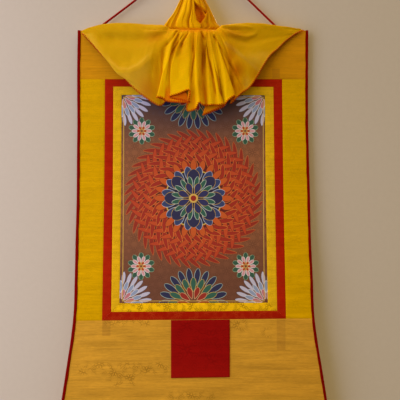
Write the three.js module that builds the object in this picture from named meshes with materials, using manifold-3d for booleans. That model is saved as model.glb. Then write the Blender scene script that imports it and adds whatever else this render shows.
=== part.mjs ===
// A hanging scroll picture in brocade borders, with its cover cloth gathered up over the top edge.
// Millimetres. +X is the viewer's right, -Y faces the viewer, +Z is up.
// The origin is the underside of the cord where it lies over its hook. A drop is a distance below it.
import * as THREE from "three";
import Module from "manifold-3d";

// Driving sizes
const CLOTH = 1.5;
const PICTURE_THICK = 1.0;
const GAP = 0.3;
const TOP_DROP = 153;
const ROW_STEP = 20;
const BOTTOM_ROW_STEP = 10;

const BINDING_WIDE = 6;
const BINDING_THICK = 0.8;
const EDGE_INSET = BINDING_THICK + GAP;

const DOOR_THICK = 1.2;
const DOOR_GAP = 0.5;

const ROD_RADIUS = 10;
const ROD_DROP = 962;
const ROD_PAST_EDGE = 16;
const ROD_ROUND = 3;
const SLEEVE_RADIUS = ROD_RADIUS + 2 * GAP + BINDING_THICK;
const SLEEVE_TURN = 240;
const SLEEVE_BEND = 6;
const SLEEVE_FLAP = 8;
const FLAP_BEHIND = 2 * BINDING_THICK + 3.5 * GAP;

const CORD_RADIUS = 2;
const CORD_SIDES = 8;
const CORD_STEP = 9;
const CORD_PEAK = 4.9;
const CORD_BEND = 10;
const CORD_LEFT = { slope: 1.3726, atEdge: -208, endX: -214, endDrop: 178 };
const CORD_RIGHT = { slope: 1.0711, atEdge: 163, endX: 169, endDrop: 178 };

const VEIL_THICK = 1.2;
const VEIL_SEAM_DROP = 172;
const VEIL_ROWS = 14;
const VEIL_CREST_AT = 0.14;
const VEIL_MIDDLE_AT = 0.5;
const VEIL_SPLIT = 2;

const TIE_TOP = 157;
const TIE_TALL = 4.5;
const TIE_THICK = 1.2;
const TIE_SIDES = 40;

// How the panels hang, a row for each level: how far the back face stands in front of the cord,
// and where the outer edges are.
const HANG = [
  { drop: 153, out: 2.4, left: -242, right: 218 },
  { drop: 252, out: 2.6, left: -243, right: 217.5 },
  { drop: 332, out: 3.1, left: -242.5, right: 217.5 },
  { drop: 411, out: 4.4, left: -243, right: 219 },
  { drop: 491, out: 7.2, left: -243, right: 220.5 },
  { drop: 570, out: 12, left: -244, right: 221.5 },
  { drop: 648, out: 17.8, left: -244.5, right: 224 },
  { drop: 718, out: 22.5, left: -246, right: 226 },
  { drop: 765, out: 24.5, left: -251, right: 231.5 },
  { drop: 803, out: 25.5, left: -256.5, right: 237.5 },
  { drop: 842, out: 25.5, left: -262.5, right: 244 },
  { drop: 880, out: 25, left: -268.5, right: 250 },
  { drop: 962, out: 23, left: -283, right: 263.5 },
];

// The three mitred rings of seams round the picture, as cut: corners by x and by drop.
const SEAMS = {
  redOuter: { topLeft: [-187.4, 250.2], topRight: [165.5, 250.2], lowLeft: [-189.7, 726.9], lowRight: [170.3, 723.3] },
  redInner: { topLeft: [-170.7, 265], topRight: [148.3, 265.6], lowLeft: [-171.9, 710.3], lowRight: [153.2, 708] },
  picture: { topLeft: [-154.1, 281.7], topRight: [131, 282.3], lowLeft: [-155.8, 693.3], lowRight: [134.9, 692.3] },
};
const DOOR = { topLeft: [-54.7, 727.4], topRight: [60.1, 726], lowLeft: [-54.6, 838.4], lowRight: [60, 836.5] };

// Soft creases across the bottom panel, a row for each.
const CREASES = [
  { drop: 744, from: -236, to: -72, rise: 0.9, spread: 7 },
  { drop: 765, from: -244, to: -120, rise: 1.6, spread: 7 },
  { drop: 792, from: -215, to: -75, rise: -1.1, spread: 9 },
  { drop: 824, from: -250, to: -130, rise: 1.0, spread: 8 },
  { drop: 861, from: -245, to: 60, rise: 1.2, spread: 10 },
  { drop: 752, from: 78, to: 218, rise: 1.2, spread: 8 },
  { drop: 783, from: 95, to: 224, rise: -1.0, spread: 9 },
  { drop: 812, from: 78, to: 190, rise: 1.1, spread: 8 },
  { drop: 849, from: 90, to: 232, rise: -0.9, spread: 9 },
  { drop: 893, from: -150, to: 225, rise: 0.9, spread: 11 },
];

// The cover cloth, a row for each ridge or valley from its left corner to its right corner:
// crest over the top edge or waist, middle of the fold, and hem; each by x, drop and distance out.
const VEIL_COLUMNS = ["crestX", "crestDrop", "crestOut", "midX", "midDrop", "midOut", "hemX", "hemDrop", "hemOut"];
const VEIL_FOLDS = [
  [-232, 155.5, 9, -231, 158, 10, -230.5, 160.5, 9.5],
  [-216, 151, 11, -213.5, 169, 14, -211.5, 182, 13],
  [-195.5, 146.5, 13, -193.5, 196.5, 20, -191, 207.5, 18],
  [-171.5, 144, 15, -173, 225, 25, -170.5, 232, 22],
  [-147.5, 143.5, 17, -152, 237, 30, -149.5, 255.5, 24],
  [-124, 145, 18, -132, 236.5, 33, -126, 277, 25],
  [-100, 148, 20, -110, 222, 37, -103.5, 294, 27],
  [-82, 152, 25, -95.5, 207, 39, -88.5, 302, 30],
  [-67, 156.5, 29, -83, 195, 40, -77, 307.5, 30],
  [-57, 162.5, 33.5, -75.5, 203, 38, -72, 306, 28],
  [-48.5, 164, 34, -71.5, 214, 28, -66.5, 298.5, 25],
  [-42, 164, 35.5, -64, 218, 43, -81, 294, 48],
  [-37, 164, 35.5, -57.5, 218, 43, -68.5, 296, 47],
  [-33.5, 164, 34.5, -54, 214, 36, -64, 301, 35],
  [-31, 164, 34.5, -43.5, 213, 32, -25.5, 311.5, 29],
  [-27.5, 164.5, 36, -50, 220.5, 45, -56, 293.5, 46],
  [-21.5, 164.5, 36.5, -35.5, 218, 44, -39, 288, 51],
  [-16, 164.5, 36.5, -19, 221.5, 49, -18, 282, 55],
  [-11.5, 164.5, 35, -12.5, 216.5, 38, -23, 320, 37],
  [-7, 164.5, 35, -9.5, 216.5, 37, -7.5, 317.5, 36],
  [-2.5, 164.5, 36.5, -6, 219, 48, 0.5, 305, 53],
  [2.5, 164.5, 36, 1, 218.5, 46, 7.5, 309.5, 50],
  [7.5, 164, 34.5, 9, 215.5, 33, 13.5, 309.5, 43],
  [11.5, 164, 35.5, 15.5, 217.5, 42, 23, 309, 48],
  [15, 164, 34.5, 22, 216.5, 38, 32, 309.5, 44],
  [17.5, 164, 35, 27.5, 218, 44, 43, 308, 47],
  [19.5, 164, 34.5, 31.5, 217.5, 41, 47.5, 308.5, 41],
  [21, 164, 34, 36, 216.5, 37, 7, 327.5, 34],
  [23, 164, 34, 40, 216.5, 37, 47, 310.5, 30],
  [25, 164, 34.5, 43.5, 217, 43, 54.5, 301, 46],
  [27, 163.5, 34, 51, 215.5, 42, 69, 291, 44],
  [30, 163, 33, 57.5, 213.5, 33.5, 61, 304.5, 33],
  [32.5, 162.5, 33, 66.5, 220.5, 38, 81.5, 285, 37],
  [35, 161.5, 32, 75.5, 215, 39, 98, 272.5, 33],
  [38, 160, 31, 79, 210, 39, 110, 252, 31],
  [41.5, 158, 30, 82.5, 205.5, 44, 117.5, 231, 33],
  [54.5, 152.5, 28, 93, 195, 37, 133, 208.5, 25],
  [76.5, 147.5, 25, 107, 183.5, 31, 149.5, 193, 20],
  [100, 145, 21, 125, 173.5, 25, 165.5, 178.5, 16],
  [124, 145, 18, 145.5, 163.5, 19, 180, 168, 13],
  [150, 147.5, 15, 166, 157.5, 15, 192, 161, 11.5],
  [176, 149.5, 12, 185, 154, 12.5, 201, 157, 10.5],
  [200, 152.5, 10, 204, 154, 10.5, 208.5, 155.5, 10],
];

// The gathered bunch above the waist, a row for each level. Hollow is how far its loop stands open.
const BUNCH = [
  { drop: 173, left: -48, right: 26, back: 14, front: 27, grooves: 0, hollow: 0 },
  { drop: 163, left: -57, right: 34, back: 9, front: 33.5, grooves: 0.3, hollow: 0 },
  { drop: 155.5, left: -57, right: 34, back: 9, front: 33.5, grooves: 0.4, hollow: 0 },
  { drop: 151, left: -62, right: 35, back: 8, front: 35, grooves: 0.8, hollow: 0.1 },
  { drop: 146, left: -65, right: 35, back: 8, front: 37, grooves: 1, hollow: 0.4 },
  { drop: 138, left: -60, right: 32.5, back: 8, front: 38, grooves: 1, hollow: 0.85 },
  { drop: 129, left: -54, right: 28.5, back: 8, front: 38, grooves: 1, hollow: 1 },
  { drop: 111, left: -44, right: 20, back: 8, front: 35, grooves: 1, hollow: 0.8 },
  { drop: 98, left: -38, right: 13, back: 8, front: 32, grooves: 1, hollow: 0.25 },
  { drop: 74, left: -29, right: 8, back: 8, front: 27, grooves: 0.9, hollow: 0 },
  { drop: 48, left: -20, right: 5, back: 7, front: 22, grooves: 0.8, hollow: 0 },
  { drop: 27, left: -12, right: 4, back: 6, front: 17, grooves: 0.6, hollow: 0 },
  { drop: 17, left: -7, right: 3, back: 7, front: 14, grooves: 0.3, hollow: 0 },
];
const WAIST = BUNCH[1];
// Its pleats across the front, a row for each ridge or groove, from the left side (-1) to the right (1).
const PLEATS = [
  { at: -0.96, groove: 0, hollow: 0 },
  { at: -0.86, groove: 0, hollow: 0 },
  { at: -0.74, groove: 0.34, hollow: 0 },
  { at: -0.67, groove: 0.08, hollow: 0 },
  { at: -0.6, groove: 0.26, hollow: 0 },
  { at: -0.5, groove: 0, hollow: 0 },
  { at: -0.34, groove: 0, hollow: 0 },
  { at: -0.2, groove: 0.02, hollow: 0 },
  { at: -0.13, groove: 0.34, hollow: 0 },
  { at: -0.05, groove: 0.04, hollow: 0 },
  { at: 0.05, groove: 0.02, hollow: 0 },
  { at: 0.13, groove: 0.1, hollow: 0.75 },
  { at: 0.26, groove: 0.12, hollow: 1.25 },
  { at: 0.42, groove: 0.12, hollow: 1.15 },
  { at: 0.55, groove: 0.1, hollow: 0.5 },
  { at: 0.63, groove: 0, hollow: 0 },
  { at: 0.76, groove: 0.05, hollow: 0 },
  { at: 0.88, groove: 0, hollow: 0 },
  { at: 0.96, groove: 0, hollow: 0 },
];
const BUNCH_BACK_STEPS = 9;

const COLOURS = {
  picture: 0x8f5430,
  yellow: 0xcf9605,
  ochre: 0xc2841a,
  red: 0x9c1e0a,
  door: 0x810d0a,
  binding: 0x730606,
  veil: 0xd69703,
  tie: 0xd07d08,
  cord: 0x7a0a08,
  wood: 0x6b4426,
};

const wasm = await Module();
wasm.setup();
const group = new THREE.Group();
group.name = "hanging_scroll_picture";

// Value of a table's column at a drop, on a smooth curve through its rows.
function smooth(keys, values, key) {
  const last = keys.length - 1;
  if (key <= keys[0]) return values[0];
  if (key >= keys[last]) return values[last];
  let i = 0;
  while (key > keys[i + 1]) i += 1;
  const step = (k) => keys[k + 1] - keys[k];
  const rise = (k) => (values[k + 1] - values[k]) / step(k);
  const slope = (k) => {
    if (k === 0) return rise(0);
    if (k === last) return rise(last - 1);
    return (rise(k - 1) * step(k) + rise(k) * step(k - 1)) / (step(k - 1) + step(k));
  };
  const h = step(i);
  const t = (key - keys[i]) / h;
  const s = 1 - t;
  return values[i] * (1 + 2 * t) * s * s + values[i + 1] * (1 + 2 * s) * t * t
    + slope(i) * h * t * s * s - slope(i + 1) * h * s * t * t;
}

function column(table, name) {
  return table.map((row) => row[name]);
}

const HANG_DROPS = column(HANG, "drop");
const hangOut = (drop) => smooth(HANG_DROPS, column(HANG, "out"), drop);
const leftEdge = (drop) => smooth(HANG_DROPS, column(HANG, "left"), drop);
const rightEdge = (drop) => smooth(HANG_DROPS, column(HANG, "right"), drop);

function creaseAt(x, drop) {
  let sum = 0;
  for (const c of CREASES) {
    const fade = Math.min(Math.max((x - c.from) / 30, 0), 1) * Math.min(Math.max((c.to - x) / 30, 0), 1);
    sum += c.rise * fade * Math.exp(-(((drop - c.drop) / c.spread) ** 2));
  }
  return sum;
}

// A station is a place down the cloth's own path: its point, the way it runs and the way its face looks.
function hangStation(drop) {
  const lean = (hangOut(drop + 1) - hangOut(drop - 1)) / 2;
  const long = Math.hypot(lean, 1);
  return { drop, y: -hangOut(drop), z: -drop, faceY: -1 / long, faceZ: lean / long };
}

// The sleeve carries the path on round the rod and up behind the panel.
function sleeveStations() {
  const list = [];
  const start = hangStation(ROD_DROP);
  const centreY = start.y + SLEEVE_RADIUS;
  const turn = THREE.MathUtils.degToRad(SLEEVE_TURN);
  const add = (y, z, angle) => list.push({
    drop: ROD_DROP, y, z, faceY: -Math.cos(angle), faceZ: -Math.sin(angle),
  });
  const steps = SLEEVE_TURN / 15;
  for (let i = 1; i <= steps; i += 1) {
    const a = (turn * i) / steps;
    add(centreY - SLEEVE_RADIUS * Math.cos(a), start.z - SLEEVE_RADIUS * Math.sin(a), a);
  }
  const from = list[list.length - 1];
  const bendY = from.y + SLEEVE_BEND * (from.faceY - 1);
  const bendZ = SLEEVE_BEND * from.faceZ;
  const run = (bendY - (start.y + FLAP_BEHIND)) / -Math.sin(turn);
  const runY = from.y + run * Math.sin(turn);
  const runZ = from.z - run * Math.cos(turn);
  add(runY, runZ, turn);
  for (let i = 1; i <= 4; i += 1) {
    const a = turn + ((Math.PI - turn) * i) / 4;
    add(runY + SLEEVE_BEND * (from.faceY + Math.cos(a)), runZ + SLEEVE_BEND * (from.faceZ + Math.sin(a)), a);
  }
  const end = list[list.length - 1];
  add(end.y, runZ + bendZ + SLEEVE_FLAP, Math.PI);
  return { list, centreY };
}
const SLEEVE = sleeveStations();

function stationsBetween(top, bottom, step) {
  const count = Math.max(1, Math.round((bottom - top) / step));
  return Array.from({ length: count + 1 }, (_, i) => hangStation(top + ((bottom - top) * i) / count));
}

function lifted(x, station, lift) {
  return new THREE.Vector3(x, station.y + station.faceY * lift, station.z + station.faceZ * lift);
}

// Straight seam lines through two corners, read across or down.
function acrossLine(a, b, shift = 0) {
  return (x) => a[1] + ((b[1] - a[1]) * (x - a[0])) / (b[0] - a[0]) + shift;
}
function downLine(a, b, shift = 0) {
  return (drop) => a[0] + ((b[0] - a[0]) * (drop - a[1])) / (b[1] - a[1]) + shift;
}

function meshFrom(name, colour, points, faces, roughness = 0.8) {
  let volume = 0;
  for (const [a, b, c] of faces) {
    volume += points[a].dot(new THREE.Vector3().crossVectors(points[b], points[c]));
  }
  const index = faces.flatMap(([a, b, c]) => (volume > 0 ? [a, b, c] : [a, c, b]));
  const geometry = new THREE.BufferGeometry();
  geometry.setAttribute("position", new THREE.Float32BufferAttribute(points.flatMap((p) => p.toArray()), 3));
  geometry.setIndex(index);
  return finish(name, colour, geometry, roughness);
}

function finish(name, colour, geometry, roughness) {
  const material = new THREE.MeshStandardMaterial({ color: COLOURS[colour], roughness, metalness: 0 });
  const mesh = new THREE.Mesh(geometry, material);
  mesh.name = name;
  return mesh;
}

// A closed sheet from two matching grids of points, its front and its back.
function sheetFaces(front, back) {
  const rows = front.length;
  const columns = front[0].length;
  const points = [...front.flat(), ...back.flat()];
  const faces = [];
  const at = (side, r, c) => side * rows * columns + r * columns + c;
  const quad = (a, b, c, d) => faces.push([a, b, c], [a, c, d]);
  for (let r = 0; r < rows - 1; r += 1) {
    for (let c = 0; c < columns - 1; c += 1) {
      quad(at(0, r, c), at(0, r + 1, c), at(0, r + 1, c + 1), at(0, r, c + 1));
      quad(at(1, r, c), at(1, r, c + 1), at(1, r + 1, c + 1), at(1, r + 1, c));
    }
    quad(at(0, r, 0), at(1, r, 0), at(1, r + 1, 0), at(0, r + 1, 0));
    quad(at(0, r, columns - 1), at(0, r + 1, columns - 1), at(1, r + 1, columns - 1), at(1, r, columns - 1));
  }
  for (let c = 0; c < columns - 1; c += 1) {
    quad(at(0, 0, c), at(0, 0, c + 1), at(1, 0, c + 1), at(1, 0, c));
    quad(at(0, rows - 1, c), at(1, rows - 1, c), at(1, rows - 1, c + 1), at(0, rows - 1, c + 1));
  }
  return { points, faces };
}

// A flat cloth piece between four edge lines, lying on the hanging face between two lifts.
function panel(name, colour, edges, lifts, columns, step) {
  const middle = (edges.left(400) + edges.right(400)) / 2;
  const tall = edges.bottom(middle) - edges.top(middle);
  const rows = Math.max(1, Math.round(tall / step));
  const grids = lifts.map(() => []);
  for (let r = 0; r <= rows; r += 1) {
    const lines = lifts.map(() => []);
    for (let c = 0; c <= columns; c += 1) {
      let x = middle;
      let drop = 0;
      for (let pass = 0; pass < 12; pass += 1) {
        drop = edges.top(x) + ((edges.bottom(x) - edges.top(x)) * r) / rows;
        x = edges.left(drop) + ((edges.right(drop) - edges.left(drop)) * c) / columns;
      }
      lifts.forEach((lift, i) => lines[i].push(lifted(x, hangStation(drop), lift + creaseAt(x, drop))));
    }
    lifts.forEach((_, i) => grids[i].push(lines[i]));
  }
  const { points, faces } = sheetFaces(grids[1], grids[0]);
  group.add(meshFrom(name, colour, points, faces));
}

// Four mitred strips between two rings of seams.
function mitredRing(name, colour, outer, inner) {
  const h = GAP / 2;
  const m = h * Math.SQRT2;
  const lifts = [0, CLOTH];
  panel(`${name}_left`, colour, {
    left: downLine(outer.topLeft, outer.lowLeft, h),
    right: downLine(inner.topLeft, inner.lowLeft, -h),
    top: acrossLine(outer.topLeft, inner.topLeft, m),
    bottom: acrossLine(outer.lowLeft, inner.lowLeft, -m),
  }, lifts, 1, ROW_STEP);
  panel(`${name}_right`, colour, {
    left: downLine(inner.topRight, inner.lowRight, h),
    right: downLine(outer.topRight, outer.lowRight, -h),
    top: acrossLine(outer.topRight, inner.topRight, m),
    bottom: acrossLine(outer.lowRight, inner.lowRight, -m),
  }, lifts, 1, ROW_STEP);
  panel(`${name}_top`, colour, {
    left: downLine(outer.topLeft, inner.topLeft, m),
    right: downLine(outer.topRight, inner.topRight, -m),
    top: acrossLine(outer.topLeft, outer.topRight, h),
    bottom: acrossLine(inner.topLeft, inner.topRight, -h),
  }, lifts, 6, ROW_STEP);
  panel(`${name}_bottom`, colour, {
    left: downLine(outer.lowLeft, inner.lowLeft, m),
    right: downLine(outer.lowRight, inner.lowRight, -m),
    top: acrossLine(inner.lowLeft, inner.lowRight, h),
    bottom: acrossLine(outer.lowLeft, outer.lowRight, -h),
  }, lifts, 6, ROW_STEP);
}

// Middle panels
const h = GAP / 2;
const { redOuter, redInner, picture } = SEAMS;
const topSeam = acrossLine(redOuter.topLeft, redOuter.topRight);
const lowSeam = acrossLine(redOuter.lowLeft, redOuter.lowRight);
panel("picture", "picture", {
  left: downLine(picture.topLeft, picture.lowLeft, h),
  right: downLine(picture.topRight, picture.lowRight, -h),
  top: acrossLine(picture.topLeft, picture.topRight, h),
  bottom: acrossLine(picture.lowLeft, picture.lowRight, -h),
}, [0.2, 0.2 + PICTURE_THICK], 2, ROW_STEP);
mitredRing("inner_border", "yellow", redInner, picture);
mitredRing("red_border", "red", redOuter, redInner);
panel("side_panel_left", "yellow", {
  left: (drop) => leftEdge(drop) + EDGE_INSET,
  right: downLine(redOuter.topLeft, redOuter.lowLeft, -h),
  top: (x) => topSeam(x) + h,
  bottom: (x) => lowSeam(x) - h,
}, [0, CLOTH], 2, ROW_STEP);
panel("side_panel_right", "yellow", {
  left: downLine(redOuter.topRight, redOuter.lowRight, h),
  right: (drop) => rightEdge(drop) - EDGE_INSET,
  top: (x) => topSeam(x) + h,
  bottom: (x) => lowSeam(x) - h,
}, [0, CLOTH], 2, ROW_STEP);
panel("top_panel", "ochre", {
  left: (drop) => leftEdge(drop) + EDGE_INSET,
  right: (drop) => rightEdge(drop) - EDGE_INSET,
  top: () => TOP_DROP,
  bottom: (x) => topSeam(x) - h,
}, [0, CLOTH], 4, ROW_STEP);

// Bottom panel with the sleeve that its lower end makes round the rod
function bottomPanel() {
  const columns = 9;
  const rows = Math.round((ROD_DROP - lowSeam(0)) / BOTTOM_ROW_STEP);
  const front = [];
  const back = [];
  const addRow = (pointAt) => {
    const fronts = [];
    const backs = [];
    for (let c = 0; c <= columns; c += 1) {
      const { x, station, crease } = pointAt(c / columns);
      fronts.push(lifted(x, station, CLOTH + crease));
      backs.push(lifted(x, station, crease));
    }
    front.push(fronts);
    back.push(backs);
  };
  const spanAt = (drop, share) => {
    const left = leftEdge(drop) + EDGE_INSET;
    const right = rightEdge(drop) - EDGE_INSET;
    return left + (right - left) * share;
  };
  for (let r = 0; r <= rows; r += 1) {
    addRow((share) => {
      const top = lowSeam(spanAt(lowSeam(0), share)) + h;
      const drop = top + ((ROD_DROP - top) * r) / rows;
      const x = spanAt(drop, share);
      return { x, station: hangStation(drop), crease: creaseAt(x, drop) };
    });
  }
  for (const station of SLEEVE.list) addRow((share) => ({ x: spanAt(ROD_DROP, share), station, crease: 0 }));
  const { points, faces } = sheetFaces(front, back);
  group.add(meshFrom("bottom_panel", "ochre", points, faces));
}
bottomPanel();
panel("door_patch", "door", {
  left: downLine(DOOR.topLeft, DOOR.lowLeft),
  right: downLine(DOOR.topRight, DOOR.lowRight),
  top: acrossLine(DOOR.topLeft, DOOR.topRight),
  bottom: acrossLine(DOOR.lowLeft, DOOR.lowRight),
}, [CLOTH + DOOR_GAP, CLOTH + DOOR_GAP + DOOR_THICK], 4, BOTTOM_ROW_STEP);

// Bindings: a strip folded round each side edge, from the top edge to the end of the sleeve
function binding(name, edge, inward) {
  const b = BINDING_THICK;
  const w = BINDING_WIDE;
  const low = -GAP;
  const high = CLOTH + GAP;
  const section = [
    [0.6, low - b], [w, low - b], [w, low], [b, low], [b, high],
    [w, high], [w, high + b], [0.6, high + b], [0, high + 0.2], [0, low - 0.2],
  ];
  const stations = [...stationsBetween(TOP_DROP, ROD_DROP, ROW_STEP), ...SLEEVE.list];
  const points = [];
  const faces = [];
  for (const station of stations) {
    for (const [across, lift] of section) points.push(lifted(edge(station.drop) + inward * across, station, lift));
  }
  const n = section.length;
  for (let r = 0; r < stations.length - 1; r += 1) {
    for (let i = 0; i < n; i += 1) {
      const j = (i + 1) % n;
      const a = r * n + i;
      const b2 = r * n + j;
      faces.push([a, b2, b2 + n], [a, b2 + n, a + n]);
    }
  }
  const outline = section.map(([across, lift]) => new THREE.Vector2(across, lift));
  const last = (stations.length - 1) * n;
  for (const [a, b2, c] of THREE.ShapeUtils.triangulateShape(outline, [])) {
    faces.push([a, c, b2], [last + a, last + b2, last + c]);
  }
  group.add(meshFrom(name, "binding", points, faces, 0.7));
}
binding("binding_left", leftEdge, 1);
binding("binding_right", rightEdge, -1);

// Cover cloth below its crest: each fold runs from the seam over its crest to its hem
function foldPoint(row, t) {
  const fold = Object.fromEntries(VEIL_COLUMNS.map((name, i) => [name, row[i]]));
  const seamDrop = Math.min(VEIL_SEAM_DROP, fold.crestDrop + 0.4 * (fold.hemDrop - fold.crestDrop));
  const seamOut = hangOut(seamDrop) + CLOTH + GAP + VEIL_THICK / 2;
  const keys = [0, VEIL_CREST_AT, VEIL_MIDDLE_AT, 1];
  const x = smooth(keys, [fold.crestX, fold.crestX, fold.midX, fold.hemX], t);
  const drop = smooth(keys, [seamDrop, fold.crestDrop, fold.midDrop, fold.hemDrop], t);
  const out = smooth(keys, [seamOut, fold.crestOut, fold.midOut, fold.hemOut], t);
  return new THREE.Vector3(x, -out, -drop);
}

function veilGrid() {
  const spans = VEIL_FOLDS.length - 1;
  const columns = spans * VEIL_SPLIT;
  const times = Array.from({ length: VEIL_ROWS + 1 }, (_, r) => (r / VEIL_ROWS) ** 1.25);
  return times.map((t) => {
    const curve = new THREE.CatmullRomCurve3(VEIL_FOLDS.map((row) => foldPoint(row, t)), false, "centripetal");
    return Array.from({ length: columns + 1 }, (_, c) => curve.getPoint(c / columns));
  });
}

// Front and back of a sheet, half its thickness to either side of its middle grid.
function thickened(grid, thick) {
  const rows = grid.length;
  const columns = grid[0].length;
  const front = [];
  const back = [];
  for (let r = 0; r < rows; r += 1) {
    const fronts = [];
    const backs = [];
    for (let c = 0; c < columns; c += 1) {
      const down = grid[Math.min(r + 1, rows - 1)][c].clone().sub(grid[Math.max(r - 1, 0)][c]);
      const across = grid[r][Math.min(c + 1, columns - 1)].clone().sub(grid[r][Math.max(c - 1, 0)]);
      const face = new THREE.Vector3().crossVectors(across, down).normalize().multiplyScalar(-thick / 2);
      fronts.push(grid[r][c].clone().sub(face));
      backs.push(grid[r][c].clone().add(face));
    }
    front.push(fronts);
    back.push(backs);
  }
  return { front, back };
}

// One level of the bunch: pleats across the front, a plain round back.
function bunchRing(level) {
  const centreX = (level.left + level.right) / 2;
  const halfX = (level.right - level.left) / 2;
  const centreOut = (level.front + level.back) / 2;
  const halfOut = (level.front - level.back) / 2;
  const ring = [];
  for (const pleat of PLEATS) {
    const dent = pleat.groove * level.grooves + pleat.hollow * level.hollow;
    const out = centreOut + halfOut * (Math.sqrt(1 - pleat.at ** 2) - dent);
    ring.push(new THREE.Vector3(centreX + halfX * pleat.at, -out, -level.drop));
  }
  for (let i = 0; i < BUNCH_BACK_STEPS; i += 1) {
    const a = Math.PI * (0.03 + (0.94 * i) / (BUNCH_BACK_STEPS - 1));
    ring.push(new THREE.Vector3(centreX + halfX * Math.cos(a), -(centreOut - halfOut * Math.sin(a)), -level.drop));
  }
  return ring;
}

// A closed solid through rings of points, its ends closed from their middles.
function loft(rings) {
  const n = rings[0].length;
  const points = rings.flat();
  const faces = [];
  for (let r = 0; r < rings.length - 1; r += 1) {
    for (let i = 0; i < n; i += 1) {
      const a = r * n + i;
      const b = r * n + ((i + 1) % n);
      faces.push([a, b, b + n], [a, b + n, a + n]);
    }
  }
  for (const [ring, start, flip] of [[rings[0], 0, true], [rings[rings.length - 1], (rings.length - 1) * n, false]]) {
    const middle = ring.reduce((sum, p) => sum.add(p), new THREE.Vector3()).divideScalar(n);
    points.push(middle);
    const m = points.length - 1;
    for (let i = 0; i < n; i += 1) {
      const a = start + i;
      const b = start + ((i + 1) % n);
      faces.push(flip ? [a, m, b] : [a, b, m]);
    }
  }
  return { points, faces };
}

function toManifold({ points, faces }) {
  let volume = 0;
  for (const [a, b, c] of faces) {
    volume += points[a].dot(new THREE.Vector3().crossVectors(points[b], points[c]));
  }
  const triVerts = new Uint32Array(faces.flatMap(([a, b, c]) => (volume > 0 ? [a, b, c] : [a, c, b])));
  const vertProperties = new Float32Array(points.flatMap((p) => p.toArray()));
  return new wasm.Manifold(new wasm.Mesh({ numProp: 3, vertProperties, triVerts }));
}

function veil() {
  const { front, back } = thickened(veilGrid(), VEIL_THICK);
  const sheet = toManifold(sheetFaces(front, back));
  const bunch = toManifold(loft(BUNCH.map(bunchRing)));
  const joined = sheet.add(bunch).getMesh();
  const geometry = new THREE.BufferGeometry();
  geometry.setAttribute("position", new THREE.Float32BufferAttribute(joined.vertProperties, 3));
  geometry.setIndex(Array.from(joined.triVerts));
  group.add(finish("veil", "veil", geometry, 0.6));
}
veil();

// Tie: a narrow band round the waist of the bunch
function tie() {
  const centreX = (WAIST.left + WAIST.right) / 2;
  const centreOut = (WAIST.front + WAIST.back) / 2;
  const oval = (grow, drop) => Array.from({ length: TIE_SIDES }, (_, i) => {
    const a = (2 * Math.PI * i) / TIE_SIDES;
    const halfX = (WAIST.right - WAIST.left) / 2 + grow;
    const halfOut = (WAIST.front - WAIST.back) / 2 + grow;
    return new THREE.Vector3(centreX + halfX * Math.cos(a), -(centreOut + halfOut * Math.sin(a)), -drop);
  });
  const inner = 2 * GAP;
  const rings = [
    oval(inner, TIE_TOP), oval(inner + TIE_THICK, TIE_TOP),
    oval(inner + TIE_THICK, TIE_TOP + TIE_TALL), oval(inner, TIE_TOP + TIE_TALL),
  ];
  const points = rings.flat();
  const faces = [];
  for (let r = 0; r < 4; r += 1) {
    for (let i = 0; i < TIE_SIDES; i += 1) {
      const j = (i + 1) % TIE_SIDES;
      const a = r * TIE_SIDES;
      const b = ((r + 1) % 4) * TIE_SIDES;
      faces.push([a + i, a + j, b + j], [a + i, b + j, b + i]);
    }
  }
  group.add(meshFrom("veil_tie", "tie", points, faces));
}
tie();

// Hanging cord: straight runs with rounded corners, its ends behind the top panel
function roundedRoute(corners, radius) {
  const route = new THREE.CurvePath();
  let from = corners[0];
  for (let i = 1; i < corners.length - 1; i += 1) {
    const before = corners[i - 1].clone().sub(corners[i]).normalize();
    const after = corners[i + 1].clone().sub(corners[i]).normalize();
    const half = Math.acos(before.dot(after)) / 2;
    const back = radius / Math.tan(half);
    const start = corners[i].clone().addScaledVector(before, back);
    const end = corners[i].clone().addScaledVector(after, back);
    const middle = before.clone().add(after).normalize();
    const centre = corners[i].clone().addScaledVector(middle, radius / Math.sin(half));
    const spoke = start.clone().sub(centre);
    const other = end.clone().sub(centre);
    const swing = Math.PI - 2 * half;
    const arc = Array.from({ length: 9 }, (_, k) => {
      const share = k / 8;
      const a = Math.sin((1 - share) * swing) / Math.sin(swing);
      const b = Math.sin(share * swing) / Math.sin(swing);
      return centre.clone().addScaledVector(spoke, a).addScaledVector(other, b);
    });
    route.add(new THREE.LineCurve3(from, start));
    for (let k = 0; k < 8; k += 1) route.add(new THREE.LineCurve3(arc[k], arc[k + 1]));
    from = end;
  }
  route.add(new THREE.LineCurve3(from, corners[corners.length - 1]));
  return route;
}

function cord() {
  const corner = (side, down) => new THREE.Vector3(side.atEdge + down * Math.sign(side.atEdge) * side.slope, 0, -TOP_DROP - down);
  const corners = [
    new THREE.Vector3(CORD_LEFT.endX, 0, -CORD_LEFT.endDrop),
    corner(CORD_LEFT, 4),
    new THREE.Vector3(0, 0, CORD_PEAK),
    corner(CORD_RIGHT, 4),
    new THREE.Vector3(CORD_RIGHT.endX, 0, -CORD_RIGHT.endDrop),
  ];
  const route = roundedRoute(corners, CORD_BEND);
  const round = new THREE.Shape();
  for (let i = 0; i <= CORD_SIDES; i += 1) {
    const a = (2 * Math.PI * (i % CORD_SIDES)) / CORD_SIDES;
    const x = CORD_RADIUS * Math.cos(a);
    const y = CORD_RADIUS * Math.sin(a);
    if (i === 0) round.moveTo(x, y);
    else round.lineTo(x, y);
  }
  const steps = Math.round(route.getLength() / CORD_STEP);
  const geometry = new THREE.ExtrudeGeometry(round, { steps, extrudePath: route, bevelEnabled: false });
  geometry.deleteAttribute("normal");
  geometry.deleteAttribute("uv");
  group.add(finish("hanging_cord", "cord", geometry, 0.75));
}
cord();

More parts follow.
